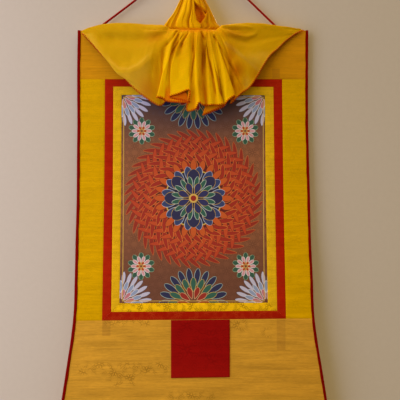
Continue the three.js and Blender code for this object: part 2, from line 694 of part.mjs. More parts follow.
// Bottom rod: plain, with softly rounded ends
function rod() {
  const left = leftEdge(ROD_DROP) - ROD_PAST_EDGE;
  const right = rightEdge(ROD_DROP) + ROD_PAST_EDGE;
  const profile = [[0, left], [ROD_RADIUS - ROD_ROUND, left]];
  for (let i = 1; i <= 3; i += 1) {
    const a = (Math.PI / 2) * (i / 3);
    profile.push([ROD_RADIUS - ROD_ROUND + ROD_ROUND * Math.sin(a), left + ROD_ROUND * (1 - Math.cos(a))]);
  }
  const mirrored = profile.map(([r, x]) => [r, left + right - x]).reverse();
  const turned = [...profile, ...mirrored].map(([r, x]) => new THREE.Vector2(r, x));
  const geometry = new THREE.LatheGeometry(turned, 24);
  geometry.rotateZ(-Math.PI / 2);
  geometry.translate(0, SLEEVE.centreY, -ROD_DROP);
  geometry.deleteAttribute("normal");
  geometry.deleteAttribute("uv");
  group.add(finish("bottom_rod", "wood", geometry, 0.6));
}
rod();

export default group;
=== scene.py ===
# %% [markdown]
# A hung scroll is cloth all over: a printed picture, two rings of brocade strips, four silk panels, and a
# thin cover cloth gathered up over the top edge. The frame already holds every piece at its real size and
# place. This lesson lays finer cloth over those solids, on the same hanging curve, and gives it its finish.

import math

import bpy
import numpy as np
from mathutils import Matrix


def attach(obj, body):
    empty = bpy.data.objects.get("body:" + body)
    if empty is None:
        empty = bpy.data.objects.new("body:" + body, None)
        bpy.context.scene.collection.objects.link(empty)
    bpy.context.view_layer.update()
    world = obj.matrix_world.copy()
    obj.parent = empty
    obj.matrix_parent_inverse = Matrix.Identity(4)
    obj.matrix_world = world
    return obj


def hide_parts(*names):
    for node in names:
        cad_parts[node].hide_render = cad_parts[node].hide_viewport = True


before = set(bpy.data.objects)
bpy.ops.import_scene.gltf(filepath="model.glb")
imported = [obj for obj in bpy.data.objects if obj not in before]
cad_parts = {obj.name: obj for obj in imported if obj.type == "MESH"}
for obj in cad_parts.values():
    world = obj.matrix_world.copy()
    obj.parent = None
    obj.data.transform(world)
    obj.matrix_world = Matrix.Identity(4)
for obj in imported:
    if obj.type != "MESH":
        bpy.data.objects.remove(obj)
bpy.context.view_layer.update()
MM = 0.001
print("frame", len(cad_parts), "nodes")

# %% [markdown]
# The camera comes first, because everything is judged through it. It stands straight in front of the scroll,
# level with its middle, so upright edges stay upright. A longer lens further off would flatten the folds.

# %% Camera
CAMERA_AT = np.array([2.0, -1120.0, -491.0])
LENS = 50.4
camera = bpy.data.objects.new("camera", bpy.data.cameras.new("camera"))
camera.data.lens = LENS
camera.location = CAMERA_AT * MM
camera.rotation_euler = (math.pi / 2, 0, 0)
bpy.context.scene.collection.objects.link(camera)
bpy.context.scene.camera = camera
bpy.context.scene.view_settings.view_transform = "Standard"
print("camera at", CAMERA_AT, "mm")

# %% [markdown]
# Every finish is a sum of simple fields over the cloth: distance, angle, waves and noise. Wired by hand, such
# sums become a tangle of nodes, so one small class lets a node's output be used like a number in Python.

# %% Shader sums
def overload(operation, reflected=False):
    def method(self, other):
        pair = (other, self) if reflected else (self, other)
        return self.finish.maths(operation, *pair)
    return method


class Socket:
    """An output of a node, used like a number."""

    def __init__(self, finish, link):
        self.finish = finish
        self.link = link

    __add__ = __radd__ = overload("ADD")
    __sub__ = overload("SUBTRACT")
    __rsub__ = overload("SUBTRACT", True)
    __mul__ = __rmul__ = overload("MULTIPLY")
    __truediv__ = overload("DIVIDE")
    __rtruediv__ = overload("DIVIDE", True)
    __pow__ = overload("POWER")
    __mod__ = overload("FLOORED_MODULO")
    __gt__ = overload("GREATER_THAN")
    __lt__ = overload("LESS_THAN")

    def __abs__(self):
        return self.finish.maths("ABSOLUTE", self)


print("shader sums ready")

# %% [markdown]
# A finish is one material. Its class has a call for each thing that cloth, wood and cord share: a soft step,
# a mix of two colours, a darker shade, noise sized in millimetres, and a bump. The same could be wired in the
# shader editor, but here two silks that are alike can be seen to be alike.

# %% Finishes made by calls
class Finish:
    """A material, with its nodes made by calls."""

    def __init__(self, name, **plain):
        self.material = bpy.data.materials.new(name)
        self.material.use_nodes = True
        self.tree = self.material.node_tree
        self.shader = self.tree.nodes["Principled BSDF"]
        self.paint(plain)

    def node(self, kind, settings=None, inputs=None, output=0):
        made = self.tree.nodes.new(kind)
        for key, value in (settings or {}).items():
            setattr(made, key, value)
        for key, value in (inputs or {}).items():
            self.put(made.inputs[key], value)
        return Socket(self, made.outputs[output])

    def put(self, socket, value):
        if isinstance(value, Socket):
            self.tree.links.new(value.link, socket)
        else:
            socket.default_value = value

    def paint(self, sockets):
        for key, value in sockets.items():
            self.put(self.shader.inputs[key.replace("_", " ").title().replace("Ior", "IOR")], value)

    def maths(self, operation, *values):
        return self.node("ShaderNodeMath", {"operation": operation}, dict(enumerate(values)))

    def step(self, value, low, high):
        inputs = {"Value": value, "From Min": low, "From Max": high}
        return self.node("ShaderNodeMapRange", {"interpolation_type": "SMOOTHSTEP"}, inputs)

    def mix(self, share, first, second):
        return self.node("ShaderNodeMix", {"data_type": "RGBA"}, {0: share, 6: first, 7: second}, 2)

    def darken(self, colour, share):
        grey = self.node("ShaderNodeCombineColor", None, {"Red": share, "Green": share, "Blue": share})
        settings = {"data_type": "RGBA", "blend_type": "MULTIPLY"}
        return self.node("ShaderNodeMix", settings, {0: 1.0, 6: colour, 7: grey}, 2)

    def place(self, source="Object"):
        spot = self.node("ShaderNodeTexCoord", None, None, source)
        parts = self.node("ShaderNodeSeparateXYZ", None, {0: spot})
        made = parts.link.node.outputs
        return [Socket(self, made[k]) * (1 / MM) for k in range(3)]

    def noise(self, x, y, size, detail=2.0):
        spot = self.node("ShaderNodeCombineXYZ", None, {0: x * (1 / size), 1: y * (1 / size)})
        return self.node("ShaderNodeTexNoise", None, {"Vector": spot, "Scale": 1.0, "Detail": detail})

    def bump(self, height, distance, strength=1.0):
        inputs = {"Height": height, "Distance": distance * MM, "Strength": strength}
        self.paint({"normal": self.node("ShaderNodeBump", None, inputs)})


def srgb(red, green, blue):
    """A colour as seen on a screen, in the linear numbers that a shader takes."""
    seen = np.array([red, green, blue]) / 255
    linear = np.where(seen <= 0.04045, seen / 12.92, ((seen + 0.055) / 1.055) ** 2.4)
    return (*linear.tolist(), 1.0)


print("finish class ready")

# %% [markdown]
# The weave is a pair of thread waves, too fine to see from a step away but there in a close view. Brocade
# adds a second weave that shows tone on tone: rosettes and curls in a half-drop repeat, the commonest layout
# of scroll brocade. Each is a field from 0 to 1, so the same motif can darken one silk and only dull another.
# An image of the motif would have one size and one sharpness, and a field has any that is asked for.

# %% Weave and brocade fields
def thread_waves(finish, across, down, pitch):
    turns = 2 * math.pi / pitch
    warp = finish.maths("SINE", across * turns)
    weft = finish.maths("SINE", down * turns)
    return warp * 0.25 + weft * 0.25 + 0.5


def polar(finish, across, up):
    radius = finish.maths("SQRT", across * across + up * up)
    turn = finish.maths("ARCTAN2", across, up) * (0.5 / math.pi) + 0.5
    return radius, turn


def petal_depth(finish, radius, turn, count, inner, outer, fat, shift=0.0, swirl=0.0):
    """How far inside a ring of pointed petals a spot lies, in millimetres."""
    bent = turn + (radius - inner) * swirl
    side = abs((bent * count + shift) % 1.0 - 0.5) * 2.0
    along = finish.node("ShaderNodeClamp", None, {0: (radius - inner) / (outer - inner)})
    wide = (along ** 0.5) * ((1.0 - along) ** 0.62) * (fat * 1.75)
    beyond = (radius < inner) + (radius > outer)
    return (wide - side) * radius * (math.pi / count) - beyond * 9.0


def line_along(finish, depth, wide, soft=0.35):
    return 1.0 - finish.step(abs(depth), wide - soft, wide + soft)


def brocade_lines(finish, across, up, repeat, thick):
    """Outlines of rosettes and curls in a half-drop repeat, in lines of one thickness."""
    column = finish.maths("FLOOR", across / repeat)
    local_x = (across / repeat) % 1.0 * repeat - repeat / 2
    local_y = (up / repeat + column * 0.5) % 1.0 * repeat - repeat / 2
    radius, turn = polar(finish, local_x, local_y)
    flower = petal_depth(finish, radius, turn, 8, repeat * 0.06, repeat * 0.34, 1.0)
    lines = line_along(finish, flower, thick / 2, thick / 4)
    curl_x = abs(local_x) - repeat * 0.33
    curl_y = abs(local_y) - repeat * 0.31
    curl_radius, curl_turn = polar(finish, curl_x, curl_y)
    coil_gap = repeat * 0.1
    coil = abs((curl_turn + curl_radius / coil_gap) % 1.0 - 0.5) * coil_gap
    curls = line_along(finish, coil, thick / 2, thick / 4)
    curls = curls * (1.0 - finish.step(curl_radius, repeat * 0.18, repeat * 0.22))
    return finish.maths("MAXIMUM", lines, curls)


print("weave and brocade fields ready")

# %% [markdown]
# The silks, cottons and threads differ only in numbers, so tables hold them: the dye of each, its roughness
# and the strength of its streaks; which of them carry brocade; the boxes where a worn brocade still shows;
# where a strip end under thin cloth shows through as a darker block; and where the dye has faded. The reverse
# of a silk is duller and has its own row.

# %% Silk tables
DARK_GOLD = srgb(122, 84, 3)
PLAIN_ROUGH = 0.52
PLAIN_STREAK = 0.26
SILKS = {
    # dyed ground, roughness, strength of the streaks
    "yellow_silk": (srgb(213, 170, 1), PLAIN_ROUGH, 0.34),
    "yellow_brocade": (srgb(227, 186, 27), PLAIN_ROUGH, 0.36),
    "yellow_brocade_low": (srgb(246, 202, 20), PLAIN_ROUGH, 0.36),
    "ochre_silk_top": (srgb(206, 148, 18), PLAIN_ROUGH, 0.4),
    "ochre_silk_low": (srgb(206, 158, 53), PLAIN_ROUGH, 0.5),
    "red_brocade": (srgb(168, 34, 12), PLAIN_ROUGH, 0.4),
    "red_brocade_low": (srgb(158, 28, 8), PLAIN_ROUGH, PLAIN_STREAK),
    "door_brocade": (srgb(146, 16, 15), PLAIN_ROUGH, 0.4),
    "tie_silk": (srgb(212, 138, 4), PLAIN_ROUGH, PLAIN_STREAK),
    "binding_cotton": (srgb(124, 6, 2), 0.75, PLAIN_STREAK),
    "reverse_yellow": (srgb(196, 167, 71), 0.8, PLAIN_STREAK),
    "reverse_red": (srgb(150, 65, 53), 0.8, PLAIN_STREAK),
    "hem_thread": (srgb(200, 60, 10), 0.7, PLAIN_STREAK),
    "red_thread": (srgb(128, 14, 10), 0.7, PLAIN_STREAK),
    "gold_thread": (srgb(196, 132, 30), 0.7, PLAIN_STREAK),
}
BROCADES = {
    # repeat, thickness of the lines, tone, share
    "yellow_silk": (42.0, 1.6, DARK_GOLD, 0.1),
    "yellow_brocade": (25.0, 1.3, DARK_GOLD, 0.2),
    "yellow_brocade_low": (25.0, 1.5, DARK_GOLD, 0.6),
    "ochre_silk_low": (30.0, 1.4, srgb(104, 71, 8), 0.5),
    "red_brocade": (27.0, 1.3, srgb(206, 80, 30), 0.12),
    "red_brocade_low": (27.0, 1.3, srgb(206, 91, 36), 0.26),
    "door_brocade": (46.0, 1.6, srgb(96, 5, 6), 0.3),
}
BROCADE_SHOWS = {
    # left, right, low, high
    "ochre_silk_low": [(-238, -60, -830, -809), (-174, -123, -853, -829), (60, 94, -748, -724),
                       (121, 142, -759, -742), (-186, -96, -737, -725), (-60, 30, -880, -866)],
}
STRIP_ENDS = {
    # left, right, low, high, share
    "ochre_silk_low": [(-189, -173, -757, -725, 0.2), (152, 169, -784, -724, 0.17)],
    "ochre_silk_top": [(146, 161, -249, -229, 0.2), (-186, -185, -249, -232, 0.12)],
}
STRIP_SHADE = srgb(90, 22, 36)
FADED = {
    # level where the fade is full, level where it ends, share, colour
    "door_brocade": (-838.0, -790.0, 0.3, srgb(176, 29, 18)),
}
print("silks", len(SILKS), "with brocade", len(BROCADES))

# %% [markdown]
# All the silks are one recipe: a dyed ground with slow uneven shade, faint slubs along the weft, and a satin
# gloss that the brocade breaks. A photographed texture would repeat and bring its own light along, so each
# finish is worked out from the place of a spot on the scroll.

# %% Silk finishes
BOX_SOFT = 5.0
STRIP_SOFT = 1.0


def inside_span(finish, at, low, high, soft):
    return finish.step(at, low - soft, low + soft) * (1.0 - finish.step(at, high - soft, high + soft))


def inside_box(finish, x, z, box, soft):
    left, right, low, high = box
    return inside_span(finish, z, low, high, soft) * inside_span(finish, x, left, right, soft)


def worn_brocade(finish, name, x, z):
    """The brocade's lines, rubbed away in patches, and the tone and share that they are laid with."""
    repeat, thick, tone, share = BROCADES[name]
    lines = brocade_lines(finish, x, z, repeat, thick)
    lines = lines * finish.step(finish.noise(x, z, 14.0), 0.36, 0.56)
    if name in BROCADE_SHOWS:
        shown = [inside_box(finish, x, z, box, BOX_SOFT) for box in BROCADE_SHOWS[name]]
        lines = lines * (sum(shown[1:], shown[0]) * 0.9 + 0.1)
    return lines, tone, share


def silk(name, ground, rough, streak):
    """Woven silk, with all that the tables list under its name."""
    finish = Finish(name, roughness=rough, specular_ior_level=0.35, specular_tint=ground)
    x, _, z = finish.place()
    long_slub = finish.noise(x * 0.05, z, 3.2)
    short_slub = finish.noise(x * 0.14, z, 1.5)
    band = finish.noise(x * 0.18, z, 15.0)
    slow = finish.noise(x, z, 60.0)
    shade = 1.0 + (long_slub - 0.5) * streak + (short_slub - 0.5) * (streak * 0.8)
    shade = shade + (band - 0.5) * (streak * 0.9) + (slow - 0.5) * 0.12
    colour = finish.darken(ground, shade)
    height = thread_waves(finish, x, z, 0.9) + long_slub
    if name in BROCADES:
        lines, tone, share = worn_brocade(finish, name, x, z)
        colour = finish.mix(lines * share, colour, tone)
        finish.paint({"roughness": lines * 0.18 + rough})
        height = height + lines * 1.2
    for *box, share in STRIP_ENDS.get(name, []):
        colour = finish.mix(inside_box(finish, x, z, box, STRIP_SOFT) * share, colour, STRIP_SHADE)
    if name in FADED:
        full, end, share, pale = FADED[name]
        colour = finish.mix((1.0 - finish.step(z, full, end)) * share, colour, pale)
    finish.paint({"base_color": colour})
    finish.bump(height, 0.12, 0.5)
    return finish.material


FINISHES = {name: silk(name, *row) for name, row in SILKS.items()}
print("silk finishes", list(FINISHES))

# %% [markdown]
# The cover cloth is thinner silk than the rest, and some light passes through it. Its folds are real shape.
# What shape can't give is painted light and shade, stored on the sheet as four marks from 0 to 1: where two
# layers lie together, a deeper colour with painted fill light; where one thin layer lies, a pale colour with
# painted highlights; in hollow folds, painted shade; and along a turned edge, its own orange, with painted
# orange reflected light in deep folds and at the waist, and painted shade under the tie. A shader could guess
# the hollows from the shape near a spot, but stored marks look the same from every side.

# %% Cover cloth finish
CLOTH_MARKS = ("doubled_and_fill_light", "sheer_and_highlight", "hollow", "turned")
PALE_AND_HIGHLIGHT_COLOUR = srgb(222, 180, 50)
PAINTED_SHADE_COLOUR = srgb(176, 94, 2)
TURNED_EDGE_AND_REFLECTED_COLOUR = srgb(216, 86, 12)


def cover_silk(name, ground, doubled_and_fill_light):
    finish = Finish(name, roughness=0.56, specular_ior_level=0.18, specular_tint=ground,
                    subsurface_weight=0.4, subsurface_radius=(1.0, 0.6, 0.1), subsurface_scale=2 * MM)
    u, v, _ = finish.place("UV")
    share = {}
    for mark in CLOTH_MARKS:
        share[mark] = finish.node("ShaderNodeAttribute", {"attribute_name": mark}, None, "Fac")
    slub = finish.noise(u * 0.08, v, 1.8)
    shade = finish.noise(u, v, 40.0) * 0.14 + slub * 0.14 + 0.86
    speck = finish.step(finish.noise(u, v, 1.5), 0.45, 0.6)
    # Two layers lying together: a deeper colour, and painted fill light for the light that the folds lose.
    colour = finish.mix(share["doubled_and_fill_light"], ground, doubled_and_fill_light)
    # Pale where one thin layer lies, and painted highlights along the lips, in spots and on the wings' hem.
    colour = finish.mix(share["sheer_and_highlight"], colour, PALE_AND_HIGHLIGHT_COLOUR)
    # Painted shade in hollow folds, in creases and in the listed shaded spots.
    colour = finish.mix(share["hollow"], colour, PAINTED_SHADE_COLOUR)
    # A turned edge's orange, and painted orange reflected light and shade in folds, the loop and the waist.
    colour = finish.mix(share["turned"] * (speck * 0.4 + 0.6), colour, TURNED_EDGE_AND_REFLECTED_COLOUR)
    finish.paint({"base_color": finish.darken(colour, shade)})
    streaks = finish.noise(u * 0.5, v * 0.05, 1.6)
    crumple = finish.noise(u, v * 0.4, 9.0)
    finish.bump(thread_waves(finish, u, v, 0.8) + streaks * 1.5 + crumple * 9.0, 0.12, 0.5)
    return finish.material


FINISHES["cover_silk"] = cover_silk("cover_silk", srgb(206, 164, 11), srgb(242, 192, 2))
# Back faces take a darker, more orange ground: painted shade, as the cloth's back lies in its own shadow.
FINISHES["cover_reverse_shaded"] = cover_silk("cover_reverse_shaded", srgb(200, 145, 10), srgb(214, 145, 5))
print("cover cloth finishes ready")

# %% [markdown]
# The middle of the scroll holds a printed picture. Here it is a plain ornament: a lotus medallion in a ring
# of flame leaves, with petal fans in the corners. A ring of petals is one formula in polar coordinates, so
# short tables of rings draw the whole print, and no image has to be loaded. Later rows lie over earlier ones.

# %% Rings of petals
PICTURE_MIDDLE = (-11.0, -487.5)
PICTURE_HALF = (143.0, 205.5)
FLAMES = [
    # in each table of rings: count, inner, outer, fat, shift, swirl, fill, rim
    (44, 100, 138, 0.95, 0.0, 0.0013, srgb(146, 44, 30), srgb(206, 112, 53)),
    (40, 90, 126, 0.95, 0.5, -0.0013, srgb(184, 67, 34), srgb(108, 24, 23)),
    (36, 80, 114, 0.95, 0.0, 0.0015, srgb(158, 44, 30), srgb(214, 129, 59)),
    (32, 70, 102, 0.95, 0.5, -0.0015, srgb(190, 76, 36), srgb(112, 27, 23)),
    (28, 62, 90, 0.95, 0.0, 0.0017, srgb(160, 44, 30), srgb(220, 142, 62)),
    (24, 52, 78, 0.95, 0.5, 0.0, srgb(196, 91, 36), srgb(96, 24, 23)),
]
LOTUS = [
    (16, 34, 64, 1.0, 0.0, 0.0, srgb(50, 67, 121), srgb(186, 208, 243)),
    (8, 20, 58, 1.0, 0.5, 0.0, srgb(40, 44, 89), srgb(206, 174, 82)),
    (16, 14, 44, 1.0, 0.0, 0.0, srgb(44, 97, 87), srgb(196, 221, 220)),
    (8, 8, 32, 1.0, 0.0, 0.0, srgb(44, 48, 105), srgb(206, 174, 82)),
]
CORNER_FAN = [
    (28, 34, 62, 1.0, 0.0, 0.0, srgb(190, 195, 231), srgb(52, 48, 62)),
    (20, 20, 44, 1.0, 0.5, 0.0, srgb(140, 161, 206), srgb(226, 236, 255)),
    (12, 8, 28, 1.0, 0.0, 0.0, srgb(186, 118, 137), srgb(226, 223, 241)),
]
EDGE_FAN = [
    (22, 34, 68, 1.0, 0.0, 0.0, srgb(38, 44, 87), srgb(160, 193, 197)),
    (16, 22, 50, 1.0, 0.5, 0.0, srgb(46, 99, 89), srgb(206, 182, 98)),
    (10, 8, 32, 1.0, 0.0, 0.0, srgb(150, 44, 36), srgb(220, 182, 140)),
]
SMALL_FLOWER = [
    (10, 10, 27, 1.0, 0.5, 0.0, srgb(48, 91, 78), srgb(148, 189, 163)),
    (10, 5, 20, 1.0, 0.0, 0.0, srgb(204, 157, 174), srgb(236, 240, 255)),
    (6, 2, 10, 1.0, 0.0, 0.0, srgb(168, 50, 41), srgb(226, 193, 105)),
]
FLOWER_AT = (103.0, 134.0)
print("petal rings", len(FLAMES + LOTUS + CORNER_FAN + EDGE_FAN + SMALL_FLOWER))

# %% [markdown]
# The print is built like a block print: a ground that darkens towards both ends, then disc on ring on disc.
# Folding the coordinates about the middle draws all four corners at once, where four separate corners would
# take four times the nodes.

# %% Picture finish
GOLD_INK = srgb(206, 174, 82)


def lay_rings(finish, colour, radius, turn, rings):
    for *ring, fill, rim in rings:
        depth = petal_depth(finish, radius, turn, *ring)
        vein = line_along(finish, depth, 0.8, 0.4) * finish.step(depth, -0.3, 0.1)
        colour = finish.mix(finish.step(depth, -0.25, 0.25), colour, fill)
        colour = finish.mix(vein, colour, rim)
    return colour


def lay_disc(finish, colour, radius, size, paint):
    return finish.mix(1.0 - finish.step(radius, size - 0.4, size + 0.4), colour, paint)


def printed_picture():
    finish = Finish("printed_canvas", roughness=0.62, specular_ior_level=0.3)
    x, _, z = finish.place()
    across = x - PICTURE_MIDDLE[0]
    up = z - PICTURE_MIDDLE[1]
    level = up / PICTURE_HALF[1]
    colour = finish.mix(finish.step(level, -0.9, 0.0), srgb(112, 71, 55), srgb(150, 97, 64))
    colour = finish.mix(finish.step(level, 0.3, 1.0), colour, srgb(74, 61, 69))
    vines = brocade_lines(finish, across, up, 26.0, 1.2)
    colour = finish.mix(vines * 0.55, colour, srgb(92, 56, 41))
    radius, turn = polar(finish, across, up)
    colour = lay_disc(finish, colour, radius, 118.0, srgb(96, 29, 25))
    colour = lay_rings(finish, colour, radius, turn, FLAMES)
    colour = lay_disc(finish, colour, radius, 57.0, GOLD_INK)
    colour = lay_disc(finish, colour, radius, 54.5, srgb(34, 35, 66))
    colour = lay_rings(finish, colour, radius, turn, LOTUS)
    colour = lay_disc(finish, colour, radius, 9.0, srgb(214, 182, 94))
    colour = lay_disc(finish, colour, radius, 5.5, srgb(150, 37, 32))
    radius, turn = polar(finish, abs(across) - FLOWER_AT[0], abs(up) - FLOWER_AT[1])
    colour = lay_rings(finish, colour, radius, turn, SMALL_FLOWER)
    corner_x = PICTURE_HALF[0] - abs(across)
    corner_y = PICTURE_HALF[1] - abs(up)
    radius, turn = polar(finish, corner_x, corner_y)
    colour = lay_rings(finish, colour, radius, turn, CORNER_FAN)
    radius, turn = polar(finish, across, corner_y)
    colour = lay_rings(finish, colour, radius, turn, EDGE_FAN)
    frame_gap = finish.maths("MINIMUM", corner_x, corner_y) - 4.0
    colour = finish.mix(line_along(finish, frame_gap, 0.7), colour, GOLD_INK)
    shade = finish.noise(x, z, 30.0) * 0.16 + 0.92
    finish.paint({"base_color": finish.darken(colour, shade)})
    finish.bump(thread_waves(finish, x, z, 1.1), 0.1, 0.4)
    return finish.material


def bare_canvas():
    finish = Finish("bare_canvas", roughness=0.85, specular_ior_level=0.2)
    x, _, z = finish.place()
    shade = finish.noise(x, z, 24.0) * 0.14 + 0.93
    finish.paint({"base_color": finish.darken(srgb(214, 219, 213), shade)})
    finish.bump(thread_waves(finish, x, z, 1.1), 0.14, 0.5)
    return finish.material


FINISHES["printed_canvas"] = printed_picture()
FINISHES["bare_canvas"] = bare_canvas()
print("picture nodes", len(FINISHES["printed_canvas"].node_tree.nodes))

# %% [markdown]
# The cord and the rod are no cloth, so they get finishes of their own. The wood has long uneven grain along
# the rod, made by noise that is stretched that way, where a tiled image would show its repeat on so long a
# rod. The cord is dull cotton: its twist is shape, not paint.

# %% Wood and cord finishes
def rod_wood():
    finish = Finish("rod_wood", roughness=0.5, specular_ior_level=0.4)
    x, y, z = finish.place()
    grain = finish.noise(x * 0.04, y * 1.2 + z * 0.9, 1.6, 4.0)
    slow = finish.noise(x * 0.02, z, 6.0)
    colour = finish.mix(finish.step(grain, 0.35, 0.7), srgb(132, 86, 50), srgb(88, 52, 28))
    finish.paint({"base_color": finish.darken(colour, slow * 0.3 + 0.85), "roughness": grain * 0.2 + 0.4})
    finish.bump(grain, 0.15, 0.4)
    return finish.material


def cord_cotton():
    finish = Finish("cord_cotton", roughness=0.8, specular_ior_level=0.2)
    x, y, z = finish.place()
    fuzz = finish.noise(x + y, z, 0.9)
    finish.paint({"base_color": finish.darken(srgb(146, 8, 3), fuzz * 0.3 + 0.85)})
    finish.bump(fuzz, 0.2, 0.4)
    return finish.material


FINISHES["rod_wood"] = rod_wood()
FINISHES["cord_cotton"] = cord_cotton()
print("finishes", len(FINISHES))

# %% [markdown]
# One table says how the scroll hangs: at each level, how far the cloth stands out and where its two edges
# are. A smooth curve through the rows gives any level between them, so every panel lies on the same face.
# Each panel could be bent by a modifier of its own, but then neighbours might part at their seams.

# %% The hanging curve
HANG_COLUMNS = ("drop", "out", "left", "right")
HANG = np.array([
    (153, 2.4, -242, 218), (252, 2.6, -243, 217.5), (332, 3.1, -242.5, 217.5), (411, 4.4, -243, 219),
    (491, 7.2, -243, 220.5), (570, 12, -244, 221.5), (648, 17.8, -244.5, 224), (718, 22.5, -246, 226),
    (765, 24.5, -251, 231.5), (803, 25.5, -256.5, 237.5), (842, 25.5, -262.5, 244), (880, 25, -268.5, 250),
    (962, 23, -283, 263.5),
])
CLOTH = 1.5
SEAM_GAP = 0.3


def smooth(keys, values, at):
    """Smooth curve through a table's rows, read at any keys between them."""
    keys, values, at = (np.asarray(v, float) for v in (keys, values, at))
    last_axes = (1,) * (values.ndim - 1)
    gaps = np.diff(keys).reshape((-1,) + last_axes)
    rises = np.diff(values, axis=0) / gaps
    inner = (rises[:-1] * gaps[1:] + rises[1:] * gaps[:-1]) / (gaps[:-1] + gaps[1:])
    slopes = np.concatenate([rises[:1], inner, rises[-1:]])
    at = np.clip(at, keys[0], keys[-1])
    i = np.clip(np.searchsorted(keys, at, side="right") - 1, 0, len(keys) - 2)
    h = gaps[i]
    t = (at - keys[i]).reshape(at.shape + last_axes) / h
    s = 1 - t
    rows = values[i] * (1 + 2 * t) * s * s + values[i + 1] * (1 + 2 * s) * t * t
    return rows + slopes[i] * h * t * s * s - slopes[i + 1] * h * s * t * t


def ramp(value, start, over):
    """A share that grows from 0 to 1 over a stretch from a start."""
    return np.clip((value - start) / over, 0, 1)


def hang(column, drop):
    return smooth(HANG[:, 0], HANG[:, HANG_COLUMNS.index(column)], drop)


def left_edge(drop):
    return hang("left", drop)


def right_edge(drop):
    return hang("right", drop)


def on_cloth(x, drop, lift):
    """Point at a lift in front of the hanging face."""
    lean = (hang("out", drop + 1) - hang("out", drop - 1)) / 2
    long = np.hypot(lean, 1)
    return np.stack([x + 0 * drop, -hang("out", drop) - lift / long, -drop + lean / long * lift], -1)


print("cloth hangs from drop", HANG[0, 0], "to", HANG[-1, 0])

# %% [markdown]
# Old roll creases and slack run across the scroll. Each is a soft ridge or trough with its own level, length
# and height, where noise would look the same all over. All pieces share one relief, so a crease runs on
# under a seam without a step.

# %% Creases
CREASES = [
    # from x, to x, drop at from, drop at to, rise, spread
    (-236, -72, 744, 744, 0.6, 7), (-244, -120, 768, 766, 0.8, 6), (-215, -75, 792, 792, -0.7, 9),
    (-250, -130, 824, 824, 0.6, 8), (-245, 60, 861, 861, 0.8, 10), (78, 218, 752, 752, 0.7, 8),
    (95, 224, 783, 783, -0.6, 9), (78, 190, 812, 812, 0.7, 8), (90, 232, 849, 849, -0.6, 9),
    (-150, 225, 893, 893, 0.9, 11),
    (-248, -172, 765, 764, 0.75, 2.2), (-196, -112, 765, 752, 0.7, 2.2), (-238, -196, 772, 773, -0.4, 2.2),
    (-238, -190, 795, 793, -0.5, 2.4), (-106, -50, 791, 788, -0.5, 2.4), (-246, -160, 811, 813, -0.4, 2.2),
    (-226, -90, 783, 779, 0.4, 2.4), (-240, -120, 802, 804, 0.35, 2.2), (-180, -56, 833, 830, 0.35, 2.4),
    (74, 150, 798, 796, -0.5, 2.2), (62, 240, 822, 820, -0.45, 2.0), (92, 238, 850, 852, -0.45, 2.4),
    (70, 226, 766, 763, 0.4, 2.4), (110, 232, 775, 779, -0.4, 2.2), (66, 190, 735, 737, 0.35, 2.4),
    (64, 150, 806, 808, 0.35, 2.2), (84, 240, 833, 831, 0.4, 2.2), (-56, 8, 846, 844, -0.5, 2.2),
    (-250, -110, 838, 835, 0.4, 3), (66, 214, 840, 837, 0.35, 2.6), (-255, -40, 873, 876, -0.4, 3),
    (-262, -90, 850, 853, 0.35, 2.6), (20, 246, 872, 869, 0.5, 4), (-262, 60, 917, 914, 0.6, 6),
    (-40, 255, 931, 934, -0.6, 6), (-266, 120, 944, 947, 0.5, 5),
]
SIDE_CREASES = {
    # drop, tilt, rise, spread
    "left": [(304, 1, 0.2, 4), (335, -2, -0.2, 5), (373, 1, 0.2, 6), (412, 2, -0.25, 4), (448, -1, 0.25, 5),
             (471, 1, -0.2, 3), (504, 2, 0.25, 5), (534, -1, -0.3, 4), (553, 2, -0.25, 3), (565, -3, 0.35, 4),
             (588, 1, -0.4, 4), (610, 2, 0.35, 4), (628, -2, -0.4, 4), (648, 1, 0.4, 4), (670, -3, -0.6, 3),
             (683, 2, 0.3, 4), (697, 1, -0.4, 3), (716, -2, -0.5, 3)],
    "right": [(296, -1, 0.2, 5), (329, 2, -0.2, 4), (366, 1, 0.2, 6), (402, -2, -0.25, 5), (437, 1, 0.25, 4),
              (462, 2, -0.2, 4), (494, -1, 0.25, 5), (514, 1, -0.3, 4), (541, -2, 0.3, 4), (557, 1, -0.35, 3),
              (589, 3, -0.4, 4), (603, -2, 0.35, 4), (625, 1, -0.45, 3), (634, 2, 0.3, 3),
              (650, -1, -0.35, 4), (682, -9, -0.6, 5), (699, 2, 0.4, 4), (713, 3, -0.45, 3)],
}
SIDE_SPANS = {"left": (-241, -180), "right": (162, 220)}
for side, rows in SIDE_CREASES.items():
    start, end = SIDE_SPANS[side]
    CREASES += [(start, end, drop, drop + tilt, rise, spread) for drop, tilt, rise, spread in rows]
PUCKERED = [
    # seams that pull the cloth beside them: one end, other end, reach
    ((-246, 727.5), (226, 722.7), 4.0), ((-243, 250.2), (217.5, 250.2), 3.0),
]
SLACK = 0.18
PUCKER = 0.14
PUCKER_CLEAR = 1.5
CREASE_FADE = 22.0
EDGE_CLEAR = 7.0
EDGE_EASE = 10.0


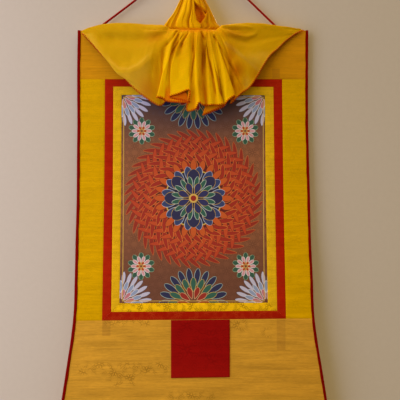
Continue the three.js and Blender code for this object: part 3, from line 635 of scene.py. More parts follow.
def relief(x, drop):
    """Height of slack, creases and puckers together, fading out before the bound edges."""
    total = SLACK * np.sin(drop / 19 + x / 61) * np.sin(x / 37 - drop / 83)
    for start, end, first, last, rise, spread in CREASES:
        level = first + (last - first) * ramp(x, start, end - start)
        fade = ramp(x, start, CREASE_FADE) * ramp(end - x, 0, CREASE_FADE)
        total = total + rise * fade * np.exp(-((drop - level) / spread) ** 2)
    for (ax, ad), (bx, bd), reach in PUCKERED:
        below = np.abs(drop - (ad + (bd - ad) * (x - ax) / (bx - ax)))
        ripple = np.sin(x / 1.9 + 1.3 * np.sin(x / 7.3)) + 0.7 * np.sin(x / 3.7 + 2)
        total = total + PUCKER * ripple * np.exp(-below / reach) * ramp(below, 0, PUCKER_CLEAR)
    inset = np.minimum(x - left_edge(drop), right_edge(drop) - x) - EDGE_CLEAR
    return total * ramp(inset, 0, EDGE_EASE)


print("creases", len(CREASES))

# %% [markdown]
# A cloth piece is a closed sheet: a front grid and a back grid with a rim between them. Its rows and columns
# crowd near its edges, where the front rolls down into the seam. That small roll is what makes a sewn seam
# look sewn. A plane with a Solidify modifier would be quicker, but both of its faces would roll alike. Front
# and back faces carry different finishes.

# %% Sheets
ROLL_DEEP = 0.75
ROLL_WIDE = 1.5
EDGE_ROWS = (0.0, 0.35, 0.8, 1.4, 2.2, 3.4)


def crowded(length, step):
    """Shares of a length, closer together near both ends."""
    near = np.array(EDGE_ROWS)
    count = max(2, int((length - 2 * near[-1]) / step))
    middle = np.linspace(near[-1], length - near[-1], count + 1)[1:-1]
    return np.concatenate([near, middle, length - near[::-1]]) / length


def sheet_faces(rows, columns):
    """Quads of a closed sheet, and for each 0 on the front, 1 on the back and 2 on the rim."""
    index = np.arange(2 * rows * columns).reshape(2, rows, columns)
    front, back = index

    def quads(a, b, c, d):
        return np.stack([a.ravel(), b.ravel(), c.ravel(), d.ravel()], 1)

    parts = [quads(front[:-1, :-1], front[1:, :-1], front[1:, 1:], front[:-1, 1:]),
             quads(back[:-1, :-1], back[:-1, 1:], back[1:, 1:], back[1:, :-1]),
             quads(front[:-1, 0], back[:-1, 0], back[1:, 0], front[1:, 0]),
             quads(front[:-1, -1], front[1:, -1], back[1:, -1], back[:-1, -1]),
             quads(front[0, :-1], front[0, 1:], back[0, 1:], back[0, :-1]),
             quads(front[-1, :-1], back[-1, :-1], back[-1, 1:], front[-1, 1:])]
    sides = np.repeat([0, 1, 2, 2, 2, 2], [len(p) for p in parts])
    return np.concatenate(parts), sides


def make_mesh(name, points, faces, finishes, sides=None, uv=None, marks=None):
    """A smooth-shaded mesh object from points in millimetres."""
    mesh = bpy.data.meshes.new(name)
    mesh.from_pydata((points * MM).tolist(), [], faces.tolist() if hasattr(faces, "tolist") else faces)
    for finish in finishes:
        mesh.materials.append(FINISHES[finish])
    if sides is not None:
        on_back = np.asarray(sides) == 1
        mesh.polygons.foreach_set("material_index", on_back.astype(np.int32))
    mesh.polygons.foreach_set("use_smooth", np.ones(len(mesh.polygons), bool))
    if uv is not None:
        corner = np.zeros(len(mesh.loops), np.int32)
        mesh.loops.foreach_get("vertex_index", corner)
        layer = mesh.uv_layers.new(name="cloth")
        layer.data.foreach_set("uv", (uv * MM)[corner].ravel())
    for mark, values in (marks or {}).items():
        mesh.attributes.new(mark, "FLOAT", "POINT").data.foreach_set("value", values)
    mesh.update()
    piece = bpy.data.objects.new(name, mesh)
    bpy.context.scene.collection.objects.link(piece)
    return piece


def settle(piece, slot, *nodes):
    """The piece rides with the scroll and stands for its nodes. The slot is not used."""
    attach(piece, "root")
    if nodes:
        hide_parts(*nodes)
    return piece


print("sheet helpers ready")

# %% [markdown]
# Straight seams are lines through two corners. Four such lines bound each panel or strip, and its grid is
# found by walking to and fro between them until both coordinates agree. Cutting a big grid along the seams
# would leave ragged rows, while this way the rows follow each seam.

# %% Panels between seams
HALF_GAP = 0.02
SCROLL_MIDDLE = 500.0
SEAM_WALKS = 12
SUNK_MOST = 0.8


def across_line(a, b, shift=0.0):
    return lambda x: a[1] + (b[1] - a[1]) * (x - a[0]) / (b[0] - a[0]) + shift


def down_line(a, b, shift=0.0):
    return lambda drop: a[0] + (b[0] - a[0]) * (drop - a[1]) / (b[1] - a[1]) + shift


def between(corners, gap=0.0):
    """The four edge lines of a piece, a gap inside its corners."""
    tl, tr, bl, br = corners
    sides = down_line(tl, bl, gap), down_line(tr, br, -gap)
    return (*sides, across_line(tl, tr, gap), across_line(bl, br, -gap))


def edge_roll(gap):
    return ROLL_DEEP * np.exp(-(gap / ROLL_WIDE) ** 2)


def panel(name, edges, finishes, slot, back=0.0, thick=CLOTH, step=4.0, rolls=(0.6, 0.6, 0.6, 0.6)):
    """A cloth piece between four edge lines, on the hanging face."""
    left, right, top, bottom = edges
    middle = (left(SCROLL_MIDDLE) + right(SCROLL_MIDDLE)) / 2
    tall = bottom(middle) - top(middle)
    level = (top(middle) + bottom(middle)) / 2
    wide = right(level) - left(level)
    across, down = np.meshgrid(crowded(wide, step), crowded(tall, step))
    x = np.full(across.shape, middle)
    for _ in range(SEAM_WALKS):
        drop = top(x) + (bottom(x) - top(x)) * down
        x = left(drop) + (right(drop) - left(drop)) * across
    height = relief(x, drop)
    gaps = (across * wide, (1 - across) * wide, down * tall, (1 - down) * tall)
    sunk = sum(roll * edge_roll(gap) for roll, gap in zip(rolls, gaps))
    front = on_cloth(x, drop, height + back + thick - np.minimum(sunk, SUNK_MOST * thick))
    rear = on_cloth(x, drop, height + back)
    faces, sides = sheet_faces(*across.shape)
    points = np.concatenate([front.reshape(-1, 3), rear.reshape(-1, 3)])
    piece = make_mesh(name + "_cloth", points, faces, finishes, sides)
    settle(piece, slot, name)
    wide * MM
    tall * MM
    print(name, round(wide), "by", round(tall), "mm")


print("panel helper ready")

# %% [markdown]
# One table of corners holds the picture and the two rings of strips around it. Each strip is mitred: its ends
# lie on lines through the corners of the ring outside it and the ring inside it. Only the long edges of a
# strip roll down into a seam. One sheet with painted borders would look the same from afar, but cloth that is
# sewn from strips catches the light in its seams.

# %% Picture and border strips
SEAMS = {
    # corners by x and drop: top left, top right, low left, low right
    "red_outer": ((-187.4, 250.2), (165.5, 250.2), (-189.7, 726.9), (170.3, 723.3)),
    "red_inner": ((-170.7, 265.0), (148.3, 265.6), (-171.9, 710.3), (153.2, 708.0)),
    "picture": ((-154.1, 281.7), (131.0, 282.3), (-155.8, 693.3), (134.9, 692.3)),
}
UPRIGHT_ROLLS = (0.5, 0.5, 0, 0)
LEVEL_ROLLS = (0, 0, 0.5, 0.5)


def ring_of_strips(name, outer, inner, finishes, low_finish, slot):
    o_tl, o_tr, o_bl, o_br = SEAMS[outer]
    i_tl, i_tr, i_bl, i_br = SEAMS[inner]
    gap = HALF_GAP
    mitre = HALF_GAP * math.sqrt(2)
    strips = {
        "left": (down_line(o_tl, o_bl, gap), down_line(i_tl, i_bl, -gap),
                 across_line(o_tl, i_tl, mitre), across_line(o_bl, i_bl, -mitre)),
        "right": (down_line(i_tr, i_br, gap), down_line(o_tr, o_br, -gap),
                  across_line(o_tr, i_tr, mitre), across_line(o_br, i_br, -mitre)),
        "top": (down_line(o_tl, i_tl, mitre), down_line(o_tr, i_tr, -mitre),
                across_line(o_tl, o_tr, gap), across_line(i_tl, i_tr, -gap)),
        "bottom": (down_line(o_bl, i_bl, mitre), down_line(o_br, i_br, -mitre),
                   across_line(i_bl, i_br, gap), across_line(o_bl, o_br, -gap)),
    }
    for side, edges in strips.items():
        front = low_finish if side == "bottom" else finishes[0]
        rolls = UPRIGHT_ROLLS if side in ("left", "right") else LEVEL_ROLLS
        panel(f"{name}_{side}", edges, (front, finishes[1]), slot, step=3.0, rolls=rolls)


panel("picture", between(SEAMS["picture"], HALF_GAP), ("printed_canvas", "bare_canvas"), "picture",
      back=0.2, thick=1.0, step=6.0, rolls=(0.3, 0.3, 0.3, 0.3))
ring_of_strips("inner_border", "red_inner", "picture", ("yellow_brocade", "reverse_yellow"),
               "yellow_brocade_low", "yellow_silk")
ring_of_strips("red_border", "red_outer", "red_inner", ("red_brocade", "reverse_red"),
               "red_brocade_low", "red_brocade")

# %% [markdown]
# The two side panels and the top panel run out to the bound edges, which follow the hanging table, so their
# outer edge is a curve and not a line. The same helper takes it, because an edge is just a function.

# %% Side and top panels
TOP_DROP = 153.0
EDGE_INSET = 1.1
red_tl, red_tr, red_bl, red_br = SEAMS["red_outer"]


def cut_left(drop):
    return left_edge(drop) + EDGE_INSET


def cut_right(drop):
    return right_edge(drop) - EDGE_INSET


SIDE_PANELS = {
    "side_panel_left": (cut_left, down_line(red_tl, red_bl, -HALF_GAP)),
    "side_panel_right": (down_line(red_tr, red_br, HALF_GAP), cut_right),
}
for name, uprights in SIDE_PANELS.items():
    levels = across_line(red_tl, red_tr, HALF_GAP), across_line(red_bl, red_br, -HALF_GAP)
    panel(name, uprights + levels, ("yellow_silk", "reverse_yellow"), "yellow_silk", step=2.6)
panel("top_panel", (cut_left, cut_right, lambda x: TOP_DROP + 0 * x, across_line(red_tl, red_tr, -HALF_GAP)),
      ("ochre_silk_top", "reverse_yellow"), "ochre_silk", step=4.0)

# %% [markdown]
# The bottom panel goes on past its flat part: its lower end turns round the rod and up behind, as a sleeve.
# The bound edges make the same turn. A list of stations down that path, each with a point and the way its
# face looks, serves both. It goes round the rod, straight back, round a small bend, and up as a flap. A Curve
# modifier could bend a flat panel so, but the bindings would need the same bend once more.

# %% Stations down the bottom panel and round the rod
ROD_RADIUS = 10.0
ROD_DROP = 962.0
BINDING_THICK = 0.8
SLEEVE_RADIUS = ROD_RADIUS + 2 * SEAM_GAP + BINDING_THICK
SLEEVE_TURN = math.radians(240)
SLEEVE_BEND = 6.0
SLEEVE_FLAP = 8.0
FLAP_BEHIND = 2 * BINDING_THICK + 3.5 * SEAM_GAP
ROD_FACE_Y = -float(hang("out", ROD_DROP))
ROD_CENTRE_Y = ROD_FACE_Y + SLEEVE_RADIUS


def path_rows(y, z, turn):
    return np.stack(np.broadcast_arrays(y, z, turn), 1)


def sleeve_path():
    """Rows of y, z and the angle that the face has turned by."""
    turn = np.linspace(0, SLEEVE_TURN, 42)[1:]
    around_y = ROD_CENTRE_Y - SLEEVE_RADIUS * np.cos(turn)
    rows = [path_rows(around_y, -ROD_DROP - SLEEVE_RADIUS * np.sin(turn), turn)]
    y, z, _ = rows[0][-1]
    face_y, face_z = -math.cos(SLEEVE_TURN), -math.sin(SLEEVE_TURN)
    run = (y + SLEEVE_BEND * (face_y - 1) - (ROD_FACE_Y + FLAP_BEHIND)) / -math.sin(SLEEVE_TURN)
    away = run * np.linspace(0, 1, 5)[1:]
    rows.append(path_rows(y + away * math.sin(SLEEVE_TURN), z - away * math.cos(SLEEVE_TURN), SLEEVE_TURN))
    y, z, _ = rows[1][-1]
    turn = np.linspace(SLEEVE_TURN, math.pi, 9)[1:]
    bend_y = y + SLEEVE_BEND * (face_y + np.cos(turn))
    rows.append(path_rows(bend_y, z + SLEEVE_BEND * (face_z + np.sin(turn)), turn))
    y, z, _ = rows[2][-1]
    rows.append(path_rows(y, z + SLEEVE_FLAP * np.linspace(0, 1, 5)[1:], math.pi))
    return np.concatenate(rows)


SLEEVE = sleeve_path()


def on_sleeve(x, lift):
    """Points on every sleeve row, for lists of x and lift along a row."""
    y, z, turn = SLEEVE.T[:, :, None]
    shape = np.broadcast(x[None, :] + 0 * y, lift + 0 * y)
    points = np.zeros(shape.shape + (3,))
    points[..., 0] = x[None, :]
    points[..., 1] = y - np.cos(turn) * lift
    points[..., 2] = z - np.sin(turn) * lift
    return points


print("sleeve rows", len(SLEEVE))

# %% [markdown]
# A flat panel and a tube for the sleeve would be easier, but a line would show where they meet. So the bottom
# panel is one sheet from the low seam to the end of the sleeve's flap. Its creases ease out before the rod,
# which holds the cloth straight.

# %% Bottom panel
BOTTOM_STEP = 3.0
BOTTOM_TOP = 725.0
ROD_EASE = 12.0
low_seam = across_line(red_bl, red_br)


def bottom_grid(wide, tall):
    """The x and drop of the flat part's grid, and the drop of its top edge."""
    down = crowded(2 * tall, BOTTOM_STEP)
    down = np.append(2 * down[down < 0.5], 1.0)
    across, down = np.meshgrid(crowded(wide, BOTTOM_STEP), down)
    x = np.zeros(across.shape)
    for _ in range(SEAM_WALKS):
        start = low_seam(x) + HALF_GAP
        drop = start + (ROD_DROP - start) * down
        x = cut_left(drop) + (cut_right(drop) - cut_left(drop)) * across
    return x, drop, start


def bottom_panel():
    wide = float(cut_right(ROD_DROP) - cut_left(ROD_DROP))
    tall = ROD_DROP - low_seam(0.0)
    x, drop, start = bottom_grid(wide, tall)
    height = relief(x, drop) * ramp(ROD_DROP - drop, 0, ROD_EASE)
    sunk = 0.6 * edge_roll(drop - start)
    grids = []
    for lift in (CLOTH - np.minimum(sunk, 1.1), 0 * sunk):
        turned = on_sleeve(x[-1], np.full(x[-1].shape, lift[-1].mean()))
        grids.append(np.concatenate([on_cloth(x, drop, height + lift), turned]).reshape(-1, 3))
    faces, sides = sheet_faces(x.shape[0] + len(SLEEVE), x.shape[1])
    piece = make_mesh("bottom_panel_cloth", np.concatenate(grids), faces,
                      ("ochre_silk_low", "reverse_yellow"), sides)
    settle(piece, "ochre_silk", "bottom_panel")
    long = tall + float(np.hypot(*np.diff(SLEEVE[:, :2], axis=0).T).sum())
    top_wide = float(cut_right(BOTTOM_TOP) - cut_left(BOTTOM_TOP))
    long * MM
    (wide + top_wide) / 2 * long * MM * MM
    print("bottom panel", round(wide), "by", round(long), "mm")


bottom_panel()

# %% [markdown]
# The door is a dark red square sewn on the bottom panel under the red border. It is a panel like the others,
# only that it lies in front of the bottom panel, so its back starts a little off that panel's face. Painted
# on the panel it would have no edge, and a patch is known by its edge.

# %% Door patch
DOOR = ((-54.7, 725.9), (60.1, 724.7), (-54.6, 838.4), (60.0, 836.5))
DOOR_BACK = CLOTH + 0.5
DOOR_THICK = 1.2
panel("door_patch", between(DOOR), ("door_brocade", "reverse_red"), "door_brocade",
      back=DOOR_BACK, thick=DOOR_THICK, step=3.0)

# %% [markdown]
# A binding is a narrow strip folded round the raw edge and sewn through. Its section is a thin U, carried
# down the edge station by station. A curve with a bevel would give the same section all along, and a little
# unevenness in its width and height is what keeps it from looking moulded.

# %% Bindings
BINDING_WIDE = {"binding_left": 6.2, "binding_right": 5.6}
BINDING_ROUND = 1.3
BINDING_EASE = 40.0


def binding_section(wide):
    """The folded strip's section: distance in from the edge, and lift."""
    b = BINDING_THICK
    low = -SEAM_GAP
    high = CLOTH + SEAM_GAP
    mid = (low + high) / 2
    half = high - mid + b
    turn = np.linspace(-math.pi / 2, math.pi / 2, 9)
    outer = np.stack([BINDING_ROUND - BINDING_ROUND * np.cos(turn), mid + half * np.sin(turn)], 1)
    upper = [
        (wide - 2, high + b), (wide - 0.5, high + b - 0.1), (wide, high + b - 0.4),
        (wide, high), (1.6, high), (b, high - 0.5),
    ]
    lower = [
        (b, low + 0.5), (1.6, low), (wide, low),
        (wide, low - b + 0.4), (wide - 0.5, low - b + 0.1), (wide - 2, low - b),
    ]
    return np.concatenate([outer, upper, lower])


def binding(name, edge, inward):
    wide = BINDING_WIDE[name]
    drops = np.linspace(TOP_DROP, ROD_DROP, 270)
    across, lift = binding_section(wide).T
    wave = 0.25 * np.sin(drops / 13) + 0.2 * np.sin(drops / 5.3 + 1)
    puff = 0.1 * np.sin(drops / 7.7) + 0.08 * np.sin(drops / 3.1)
    swell = ramp(ROD_DROP - drops, 0, BINDING_EASE)[:, None]
    inner = (across > wide - 2.6)[None, :]
    x = edge(drops)[:, None] + inward * (across + inner * wave[:, None] * swell)
    raised = lift + np.where(lift > CLOTH + 0.5, puff[:, None] * swell, 0)
    hung = on_cloth(x, np.broadcast_to(drops[:, None], x.shape), raised)
    rows = np.concatenate([hung, on_sleeve(float(edge(ROD_DROP)) + inward * across, lift)])
    count, n = rows.shape[:2]
    index = np.arange(count * n).reshape(count, n)
    after = np.roll(index, -1, axis=1)
    ring = np.stack([index[:-1], after[:-1], after[1:], index[1:]], -1).reshape(-1, 4)
    if inward > 0:
        ring = ring[:, ::-1]
    ends = [index[0].tolist(), index[-1][::-1].tolist()]
    faces = ring.tolist() + (ends if inward > 0 else [e[::-1] for e in ends])
    piece = make_mesh(name + "_cloth", rows.reshape(-1, 3), faces, ("binding_cotton",))
    settle(piece, "binding", name)


binding("binding_left", left_edge, 1)
binding("binding_right", right_edge, -1)

# %% [markdown]
# The cover cloth makes the scroll's silhouette. It is sewn along the top edge, rises over it, and falls from
# a gathered waist in deep uneven folds. Each row of its table is one ridge or valley, from the crest at the
# waist, past the middle, to the hem. A cloth simulation finds its own folds, and these must lie where the
# real ones do, so they are listed one by one.

# %% Cover cloth folds
VEIL_COLUMNS = (
    "crest_x", "crest_drop", "crest_out",
    "mid_x", "mid_drop", "mid_out",
    "hem_x", "hem_drop", "hem_out",
)
VEIL_FOLDS = np.array([
    (-232, 155.5, 9, -231, 158, 10, -230.5, 160.5, 9.5),
    (-216, 151, 11, -213.5, 169, 14, -211.5, 182, 13),
    (-195.5, 146.5, 13, -193, 195, 20, -189.5, 206, 18),
    (-171.5, 144, 15, -171.5, 216, 25, -165.5, 227.5, 22),
    (-147.5, 143.5, 17, -150, 234, 29.5, -146, 252, 24),
    (-124, 145, 18, -131, 235, 33, -124, 275, 25),
    (-100, 148, 20, -110, 222, 37, -102, 292.5, 27),
    (-82, 150.5, 25, -95.5, 207, 39, -88.5, 302, 30),
    (-67, 154, 30, -83, 195, 40, -77, 307.5, 30),
    (-57, 158.5, 34.5, -73, 203, 38.5, -72, 306, 28),
    (-49, 161.5, 36, -68.5, 214, 33.5, -66.5, 298.5, 29),
    (-42, 161.5, 36.5, -61.5, 218, 43, -81, 294, 48),
    (-37, 162, 35.5, -57.5, 218, 43, -68.5, 296, 47),
    (-33.5, 162, 34.5, -54, 214, 40, -64, 301, 46),
    (-31, 162, 34.5, -43.5, 213, 38, -17.5, 304, 49.5),
    (-27.5, 162.5, 36, -50, 220.5, 45, -56, 293.5, 46),
    (-21.5, 162.5, 36.5, -35.5, 218, 44, -39, 288, 50),
    (-16, 162.5, 36.5, -19, 221.5, 48, -18, 282, 52),
    (-11.5, 162.5, 35, -12.5, 216.5, 43, -23, 320, 48),
    (-7, 162.5, 35, -9.5, 216.5, 42.5, -7.5, 317.5, 46),
    (-2.5, 162.5, 36.5, -6, 219, 48, 0.5, 305, 53),
    (2.5, 162.5, 36, 1, 218.5, 46, 7.5, 309.5, 50),
    (7.5, 162, 34.5, 9, 215.5, 31, 13.5, 309.5, 41),
    (11.5, 162, 35.5, 15.5, 217.5, 42, 23, 309, 48),
    (15, 162, 34.5, 22, 216.5, 38, 32, 309.5, 44),
    (17.5, 162, 35, 27.5, 218, 44, 43, 308, 47),
    (19.5, 162, 34.5, 31.5, 217.5, 41, 47.5, 308.5, 41),
    (21, 162, 34, 36, 216.5, 38.5, 7, 327.5, 39),
    (23, 162, 34, 40, 216.5, 38.5, 47, 310.5, 37),
    (25, 162, 34.5, 43.5, 217, 43, 54.5, 301, 46),
    (27, 162, 34, 51, 215.5, 42, 69, 291, 44),
    (30, 161.5, 33, 57.5, 213.5, 35, 61, 304.5, 35),
    (32.5, 161.5, 33, 66.5, 220.5, 38, 81.5, 285, 37),
    (35, 159.5, 34, 75.5, 215, 37, 98, 272.5, 31),
    (39, 157, 33.5, 79, 210, 37.5, 113, 251, 27),
    (44, 154.5, 32, 82.5, 205.5, 39, 125.5, 229, 27.5),
    (56, 151.5, 29, 93, 195, 30.5, 141, 206, 19),
    (76.5, 147.5, 25, 107, 183.5, 24, 157, 191, 14),
    (100, 145, 21, 125, 173.5, 19.5, 170, 177.5, 11.5),
    (124, 145, 18, 145.5, 163.5, 15.5, 182.5, 167.5, 10.5),
    (150, 147.5, 15, 166, 157.5, 15, 192, 161, 11.5),
    (176, 149.5, 12, 185, 154, 12.5, 201, 157, 10.5),
    (200, 152.5, 10, 204, 154, 10.5, 208.5, 155.5, 10),
])
print("folds", len(VEIL_FOLDS))

# %% [markdown]
# Three steps turn the table into a grid. A smooth curve runs down each row, a centripetal curve joins the
# rows without overshooting where they crowd, and a short blur across the folds keeps the cloth above the hem
# as flat as thin silk is when it is pulled. A subdivision surface would be less work, but it shrinks away
# from its points, and the ridges would no longer lie where the table puts them.

# %% Cover cloth grid
VEIL_KEYS = (0, 0.14, 0.5, 1)
VEIL_SEAM_DROP = 172.0
VEIL_SEAM_SHARE = 0.4
VEIL_SEAM_LIFT = 0.6
VEIL_ROWS = 64
VEIL_CROWD = 1.25
VEIL_SPLIT = 9
SOFT_FOLDS = 1.3
SOFT_SHARE = 0.3


def through_points(points, split):
    """Centripetal curve through the rows of a list of points, with split steps between each two."""
    before = np.concatenate([2 * points[:1] - points[1:2], points[:-2]])
    here, ahead = points[:-1], points[1:]
    after = np.concatenate([points[2:], 2 * points[-1:] - points[-2:-1]])
    d0, d1, d2 = (np.linalg.norm(b - a, axis=-1, keepdims=True) ** 0.5
                  for a, b in ((before, here), (here, ahead), (ahead, after)))
    t1 = ((here - before) / d0 - (ahead - before) / (d0 + d1) + (ahead - here) / d1) * d1
    t2 = ((ahead - here) / d1 - (after - here) / (d1 + d2) + (after - ahead) / d2) * d1
    steps = []
    for k in range(split):
        u = k / split
        c2 = 3 * (ahead - here) - 2 * t1 - t2
        c3 = 2 * (here - ahead) + t1 + t2
        steps.append(here + t1 * u + c2 * u * u + c3 * u ** 3)
    woven = np.stack(steps, 1).reshape(-1, 3)
    return np.concatenate([woven, points[-1:]])


def softened(depth, times):
    """Shallower folds above the hem, where thin cloth is pulled nearly flat."""
    reach = 3 * VEIL_SPLIT
    weight = np.exp(-(np.arange(-reach, reach + 1) / (SOFT_FOLDS * VEIL_SPLIT)) ** 2)
    padded = np.pad(depth, ((0, 0), (reach, reach)), mode="edge")
    flat = np.array([np.convolve(row, weight / weight.sum(), mode="valid") for row in padded])
    share = SOFT_SHARE * (1 - 0.5 * ramp(times, 0.5, 0.5)) * ramp(times, 0.08, 0.08)
    return depth + (flat - depth) * share[:, None]


def veil_grid():
    fold = dict(zip(VEIL_COLUMNS, VEIL_FOLDS.T))
    fall = fold["hem_drop"] - fold["crest_drop"]
    seam_drop = np.minimum(VEIL_SEAM_DROP, fold["crest_drop"] + VEIL_SEAM_SHARE * fall)
    seam_out = hang("out", seam_drop) + CLOTH + SEAM_GAP + VEIL_SEAM_LIFT
    stops = [(fold["crest_x"], seam_drop, seam_out)]
    for part in ("crest", "mid", "hem"):
        stops.append([fold[f"{part}_{column}"] for column in ("x", "drop", "out")])
    stops = np.array([np.stack([x, -out, -drop], 1) for x, drop, out in stops])
    times = np.linspace(0, 1, VEIL_ROWS + 1) ** VEIL_CROWD
    grid = np.stack([through_points(row, VEIL_SPLIT) for row in smooth(VEIL_KEYS, stops, times)])
    grid[..., 1] = softened(grid[..., 1], times)
    return grid, times


grid, veil_times = veil_grid()
print("cover cloth grid", grid.shape)

# %% [markdown]
# Smaller creases lie across the front of the cover cloth. Each row of this table is the line that one of them
# follows, with its height and its own width on the upper and the lower side, so a lip can be soft above and
# sharp below. A bump in the finish would not do, because such creases show in the outline.

# %% Small creases of the cover cloth
VEIL_CREASES = [
    # first fold, last fold, height, width above, width below, line of x and drop
    (0, 10, -7.0, 6, 13, [(-198, 168), (-165, 171), (-125, 175), (-92, 175), (-67, 169), (-45, 162)]),
    (1, 10, 3.0, 14, 8.0, [(-181, 215), (-169, 230), (-156, 240), (-136, 242), (-115, 234), (-97, 220),
                           (-84, 207)]),
    (2, 10, -0.6, 8, 14, [(-150, 265), (-126, 263), (-95, 244), (-74, 217), (-64, 193)]),
    (5, 11, -4.0, 1.5, 1.6, [(-111, 157), (-84, 160), (-53, 161)]),
    (5, 10, 1.5, 2.0, 3.0, [(-107, 162), (-80, 165), (-62, 165)]),
    (2, 8, -1.6, 8, 5, [(-174, 212), (-150, 223), (-123, 218)]),
    (4, 9, -1.2, 9, 9, [(-95, 238), (-85, 277)]),
    (7, 12, -1.2, 4, 3, [(-58, 179), (-68, 204), (-72, 228)]),
    (9, 14, -2.4, 1.2, 4, [(-38, 170), (-50, 195), (-56, 222), (-58, 291)]),
    (11, 17, -3.6, 3, 1.0, [(-17, 167), (-29, 185), (-35, 202)]),
    (9, 15, -3.3, 1.4, 3, [(-41, 165), (-52, 180), (-68, 195)]),
    (11, 16, -3.0, 1.0, 2.0, [(-21, 166), (-33, 178), (-46, 196), (-56, 214)]),
    (15, 19, -4.7, 2.4, 2.0, [(-6, 166), (-8, 187), (-11, 210)]),
    (13, 17, -1.8, 6, 6, [(-31, 187), (-40, 218)]),
    (15, 20, -2.7, 1.6, 1.6, [(-4, 168), (-9, 212), (-14, 251), (-16, 272)]),
    (20, 26, -2.4, 1.1, 2.6, [(4, 166), (12, 183), (10, 206)]),
    (20, 25, -2.6, 6, 3.0, [(12, 191), (10, 222), (6, 252), (2, 295)]),
    (21, 27, -3.3, 1.1, 2.6, [(14, 176), (19, 212), (27, 251), (35, 303)]),
    (23, 29, -3.3, 1.1, 3, [(23, 191), (31, 232), (39, 266), (47, 305)]),
    (26, 33, -4.2, 4, 1.1, [(27, 174), (40, 199), (52, 232), (62, 260), (71, 291)]),
    (29, 35, -3.6, 3, 1.5, [(21, 165), (37, 188), (50, 209), (62, 231), (79, 263), (91, 279)]),
    (31, 36, 1.2, 3, 3, [(52, 209), (72, 240), (95, 271)]),
    (32, 38, -1.5, 12, 5, [(23, 169), (43, 187), (62, 201), (83, 215), (101, 227), (112, 240)]),
    (34, 41, 2.8, 2.0, 4, [(41, 157), (61, 154), (90, 153), (109, 154)]),
    (34, 41, 3.6, 4.0, 3.0, [(41, 163), (64, 172), (90, 174), (107, 169), (115, 160)]),
    (34, 41, -3.2, 1.6, 1.8, [(33, 160), (57, 160), (84, 161)]),
    (33, 40, -1.5, 3, 8, [(35, 162), (51, 174), (72, 182), (103, 182)]),
    (34, 40, 0.9, 6, 6, [(72, 193), (111, 191), (142, 183)]),
    (35, 41, -1.0, 4, 7, [(110, 180), (143, 170), (174, 162)]),
]
print("small creases", len(VEIL_CREASES))

# %% [markdown]
# A crease is pressed in by moving the grid along its normals, most on the line and less with the distance
# from it. It only moves the stretch of folds that it lies on, or it would also push the layers behind. A
# sculpting brush does the same by hand, but a row of a table can be changed and pressed again.

# %% Pressing the creases
def line_gap(x, drop, line):
    """Distance to a bent line, whether the spot lies above it, and how far along it the spot is."""
    line = np.array(line, float)
    runs = np.diff(line, axis=0)
    reach = np.concatenate([[0], np.cumsum(np.hypot(*runs.T))])
    best = np.full(x.shape, 1e9)
    above = np.zeros(x.shape)
    along = np.zeros(x.shape)
    for (ax, ad), run, start in zip(line, runs, reach):
        share = np.clip(((x - ax) * run[0] + (drop - ad) * run[1]) / (run @ run), 0, 1)
        gap = np.hypot(x - ax - share * run[0], drop - ad - share * run[1])
        nearer = gap < best
        above = np.where(nearer, drop < ad + share * run[1], above)
        along = np.where(nearer, (start + share * np.hypot(*run)) / reach[-1], along)
        best = np.minimum(best, gap)
    return best, above, along


def face_normals(grid):
    down = np.gradient(grid, axis=0)
    across = np.gradient(grid, axis=1)
    normal = np.cross(down, across)
    return normal / np.maximum(np.linalg.norm(normal, axis=-1, keepdims=True), 1e-9)


CREASE_ENDS = 0.18
FOLD_ENDS = 0.8
WAIST_FADE = 0.02
WAIST_LEVEL = 178.0
WAIST_HALF = 60.0
CRUMPLE = 0.25


def pressed(grid, times):
    x, drop = grid[..., 0], -grid[..., 2]
    fold = np.arange(grid.shape[1])[None, :] / VEIL_SPLIT
    time = times[:, None]
    front = ramp(time, 0.1, 0.06) * ramp(1 - time, 0, 0.15)
    push = np.zeros(x.shape)
    for first, last, height, upper, lower, line in VEIL_CREASES:
        gap, above, along = line_gap(x, drop, line)
        width = np.where(above > 0, upper, lower)
        from_waist = abs(line[0][0]) < WAIST_HALF and line[0][1] < WAIST_LEVEL
        start = WAIST_FADE if from_waist else CREASE_ENDS
        fade = ramp(along, 0, start) * ramp(1 - along, 0, CREASE_ENDS)
        stretch = ramp(fold, first, FOLD_ENDS) * ramp(last - fold, 0, FOLD_ENDS)
        push += height * np.exp(-(gap / width) ** 2) * fade * stretch * front
    push += CRUMPLE * np.sin(fold * 5.1 + time * 3) * np.sin(time * 17 + fold * 0.7) * front
    return grid + face_normals(grid) * push[..., None], push


grid, crease_push = pressed(grid, veil_times)
print("creases from", round(crease_push.min(), 1), "to", round(crease_push.max(), 1), "mm")

# %% [markdown]
# Now the marks that the finish reads, which paint light and shade into the cover cloth's colour. Some follow
# from the shape, and a few shares are enough for those.
# Others are soft spots and lines, where the thin cloth of the wings lets light through or a swag keeps it
# out. They could be painted with a brush, but a table can be read and changed row by row.

# %% Mark tables
SKIRT_MIDDLE = 22
SKIRT_HALF = 11.5
SKIRT_START = 7
SKIRT_END = 36
SKIRT_EASE = 4
RIGHT_DOUBLED_AND_FILL_LIGHT = 0.35
# An inner fold under the arch gets painted orange reflected light.
INNER_FOLD = 13.7
INNER_REFLECTED_LIGHT = 0.9
HEM_BAND = 3.2
HEM_TINT = 0.2
HOLLOW_DEEP = 5.0
VALLEY_SHARE = 0.4
CREASE_SHARE = 0.35
# Shares of the pale thin cloth below the left lip and of the painted highlights on the lips and the wings'
# hem.
SHEER_AND_HIGHLIGHT_SHARES = {"under_lip": 0.6, "left_lip_highlight": 0.75, "right_lip_highlight": 0.8, "hem": 0.9}
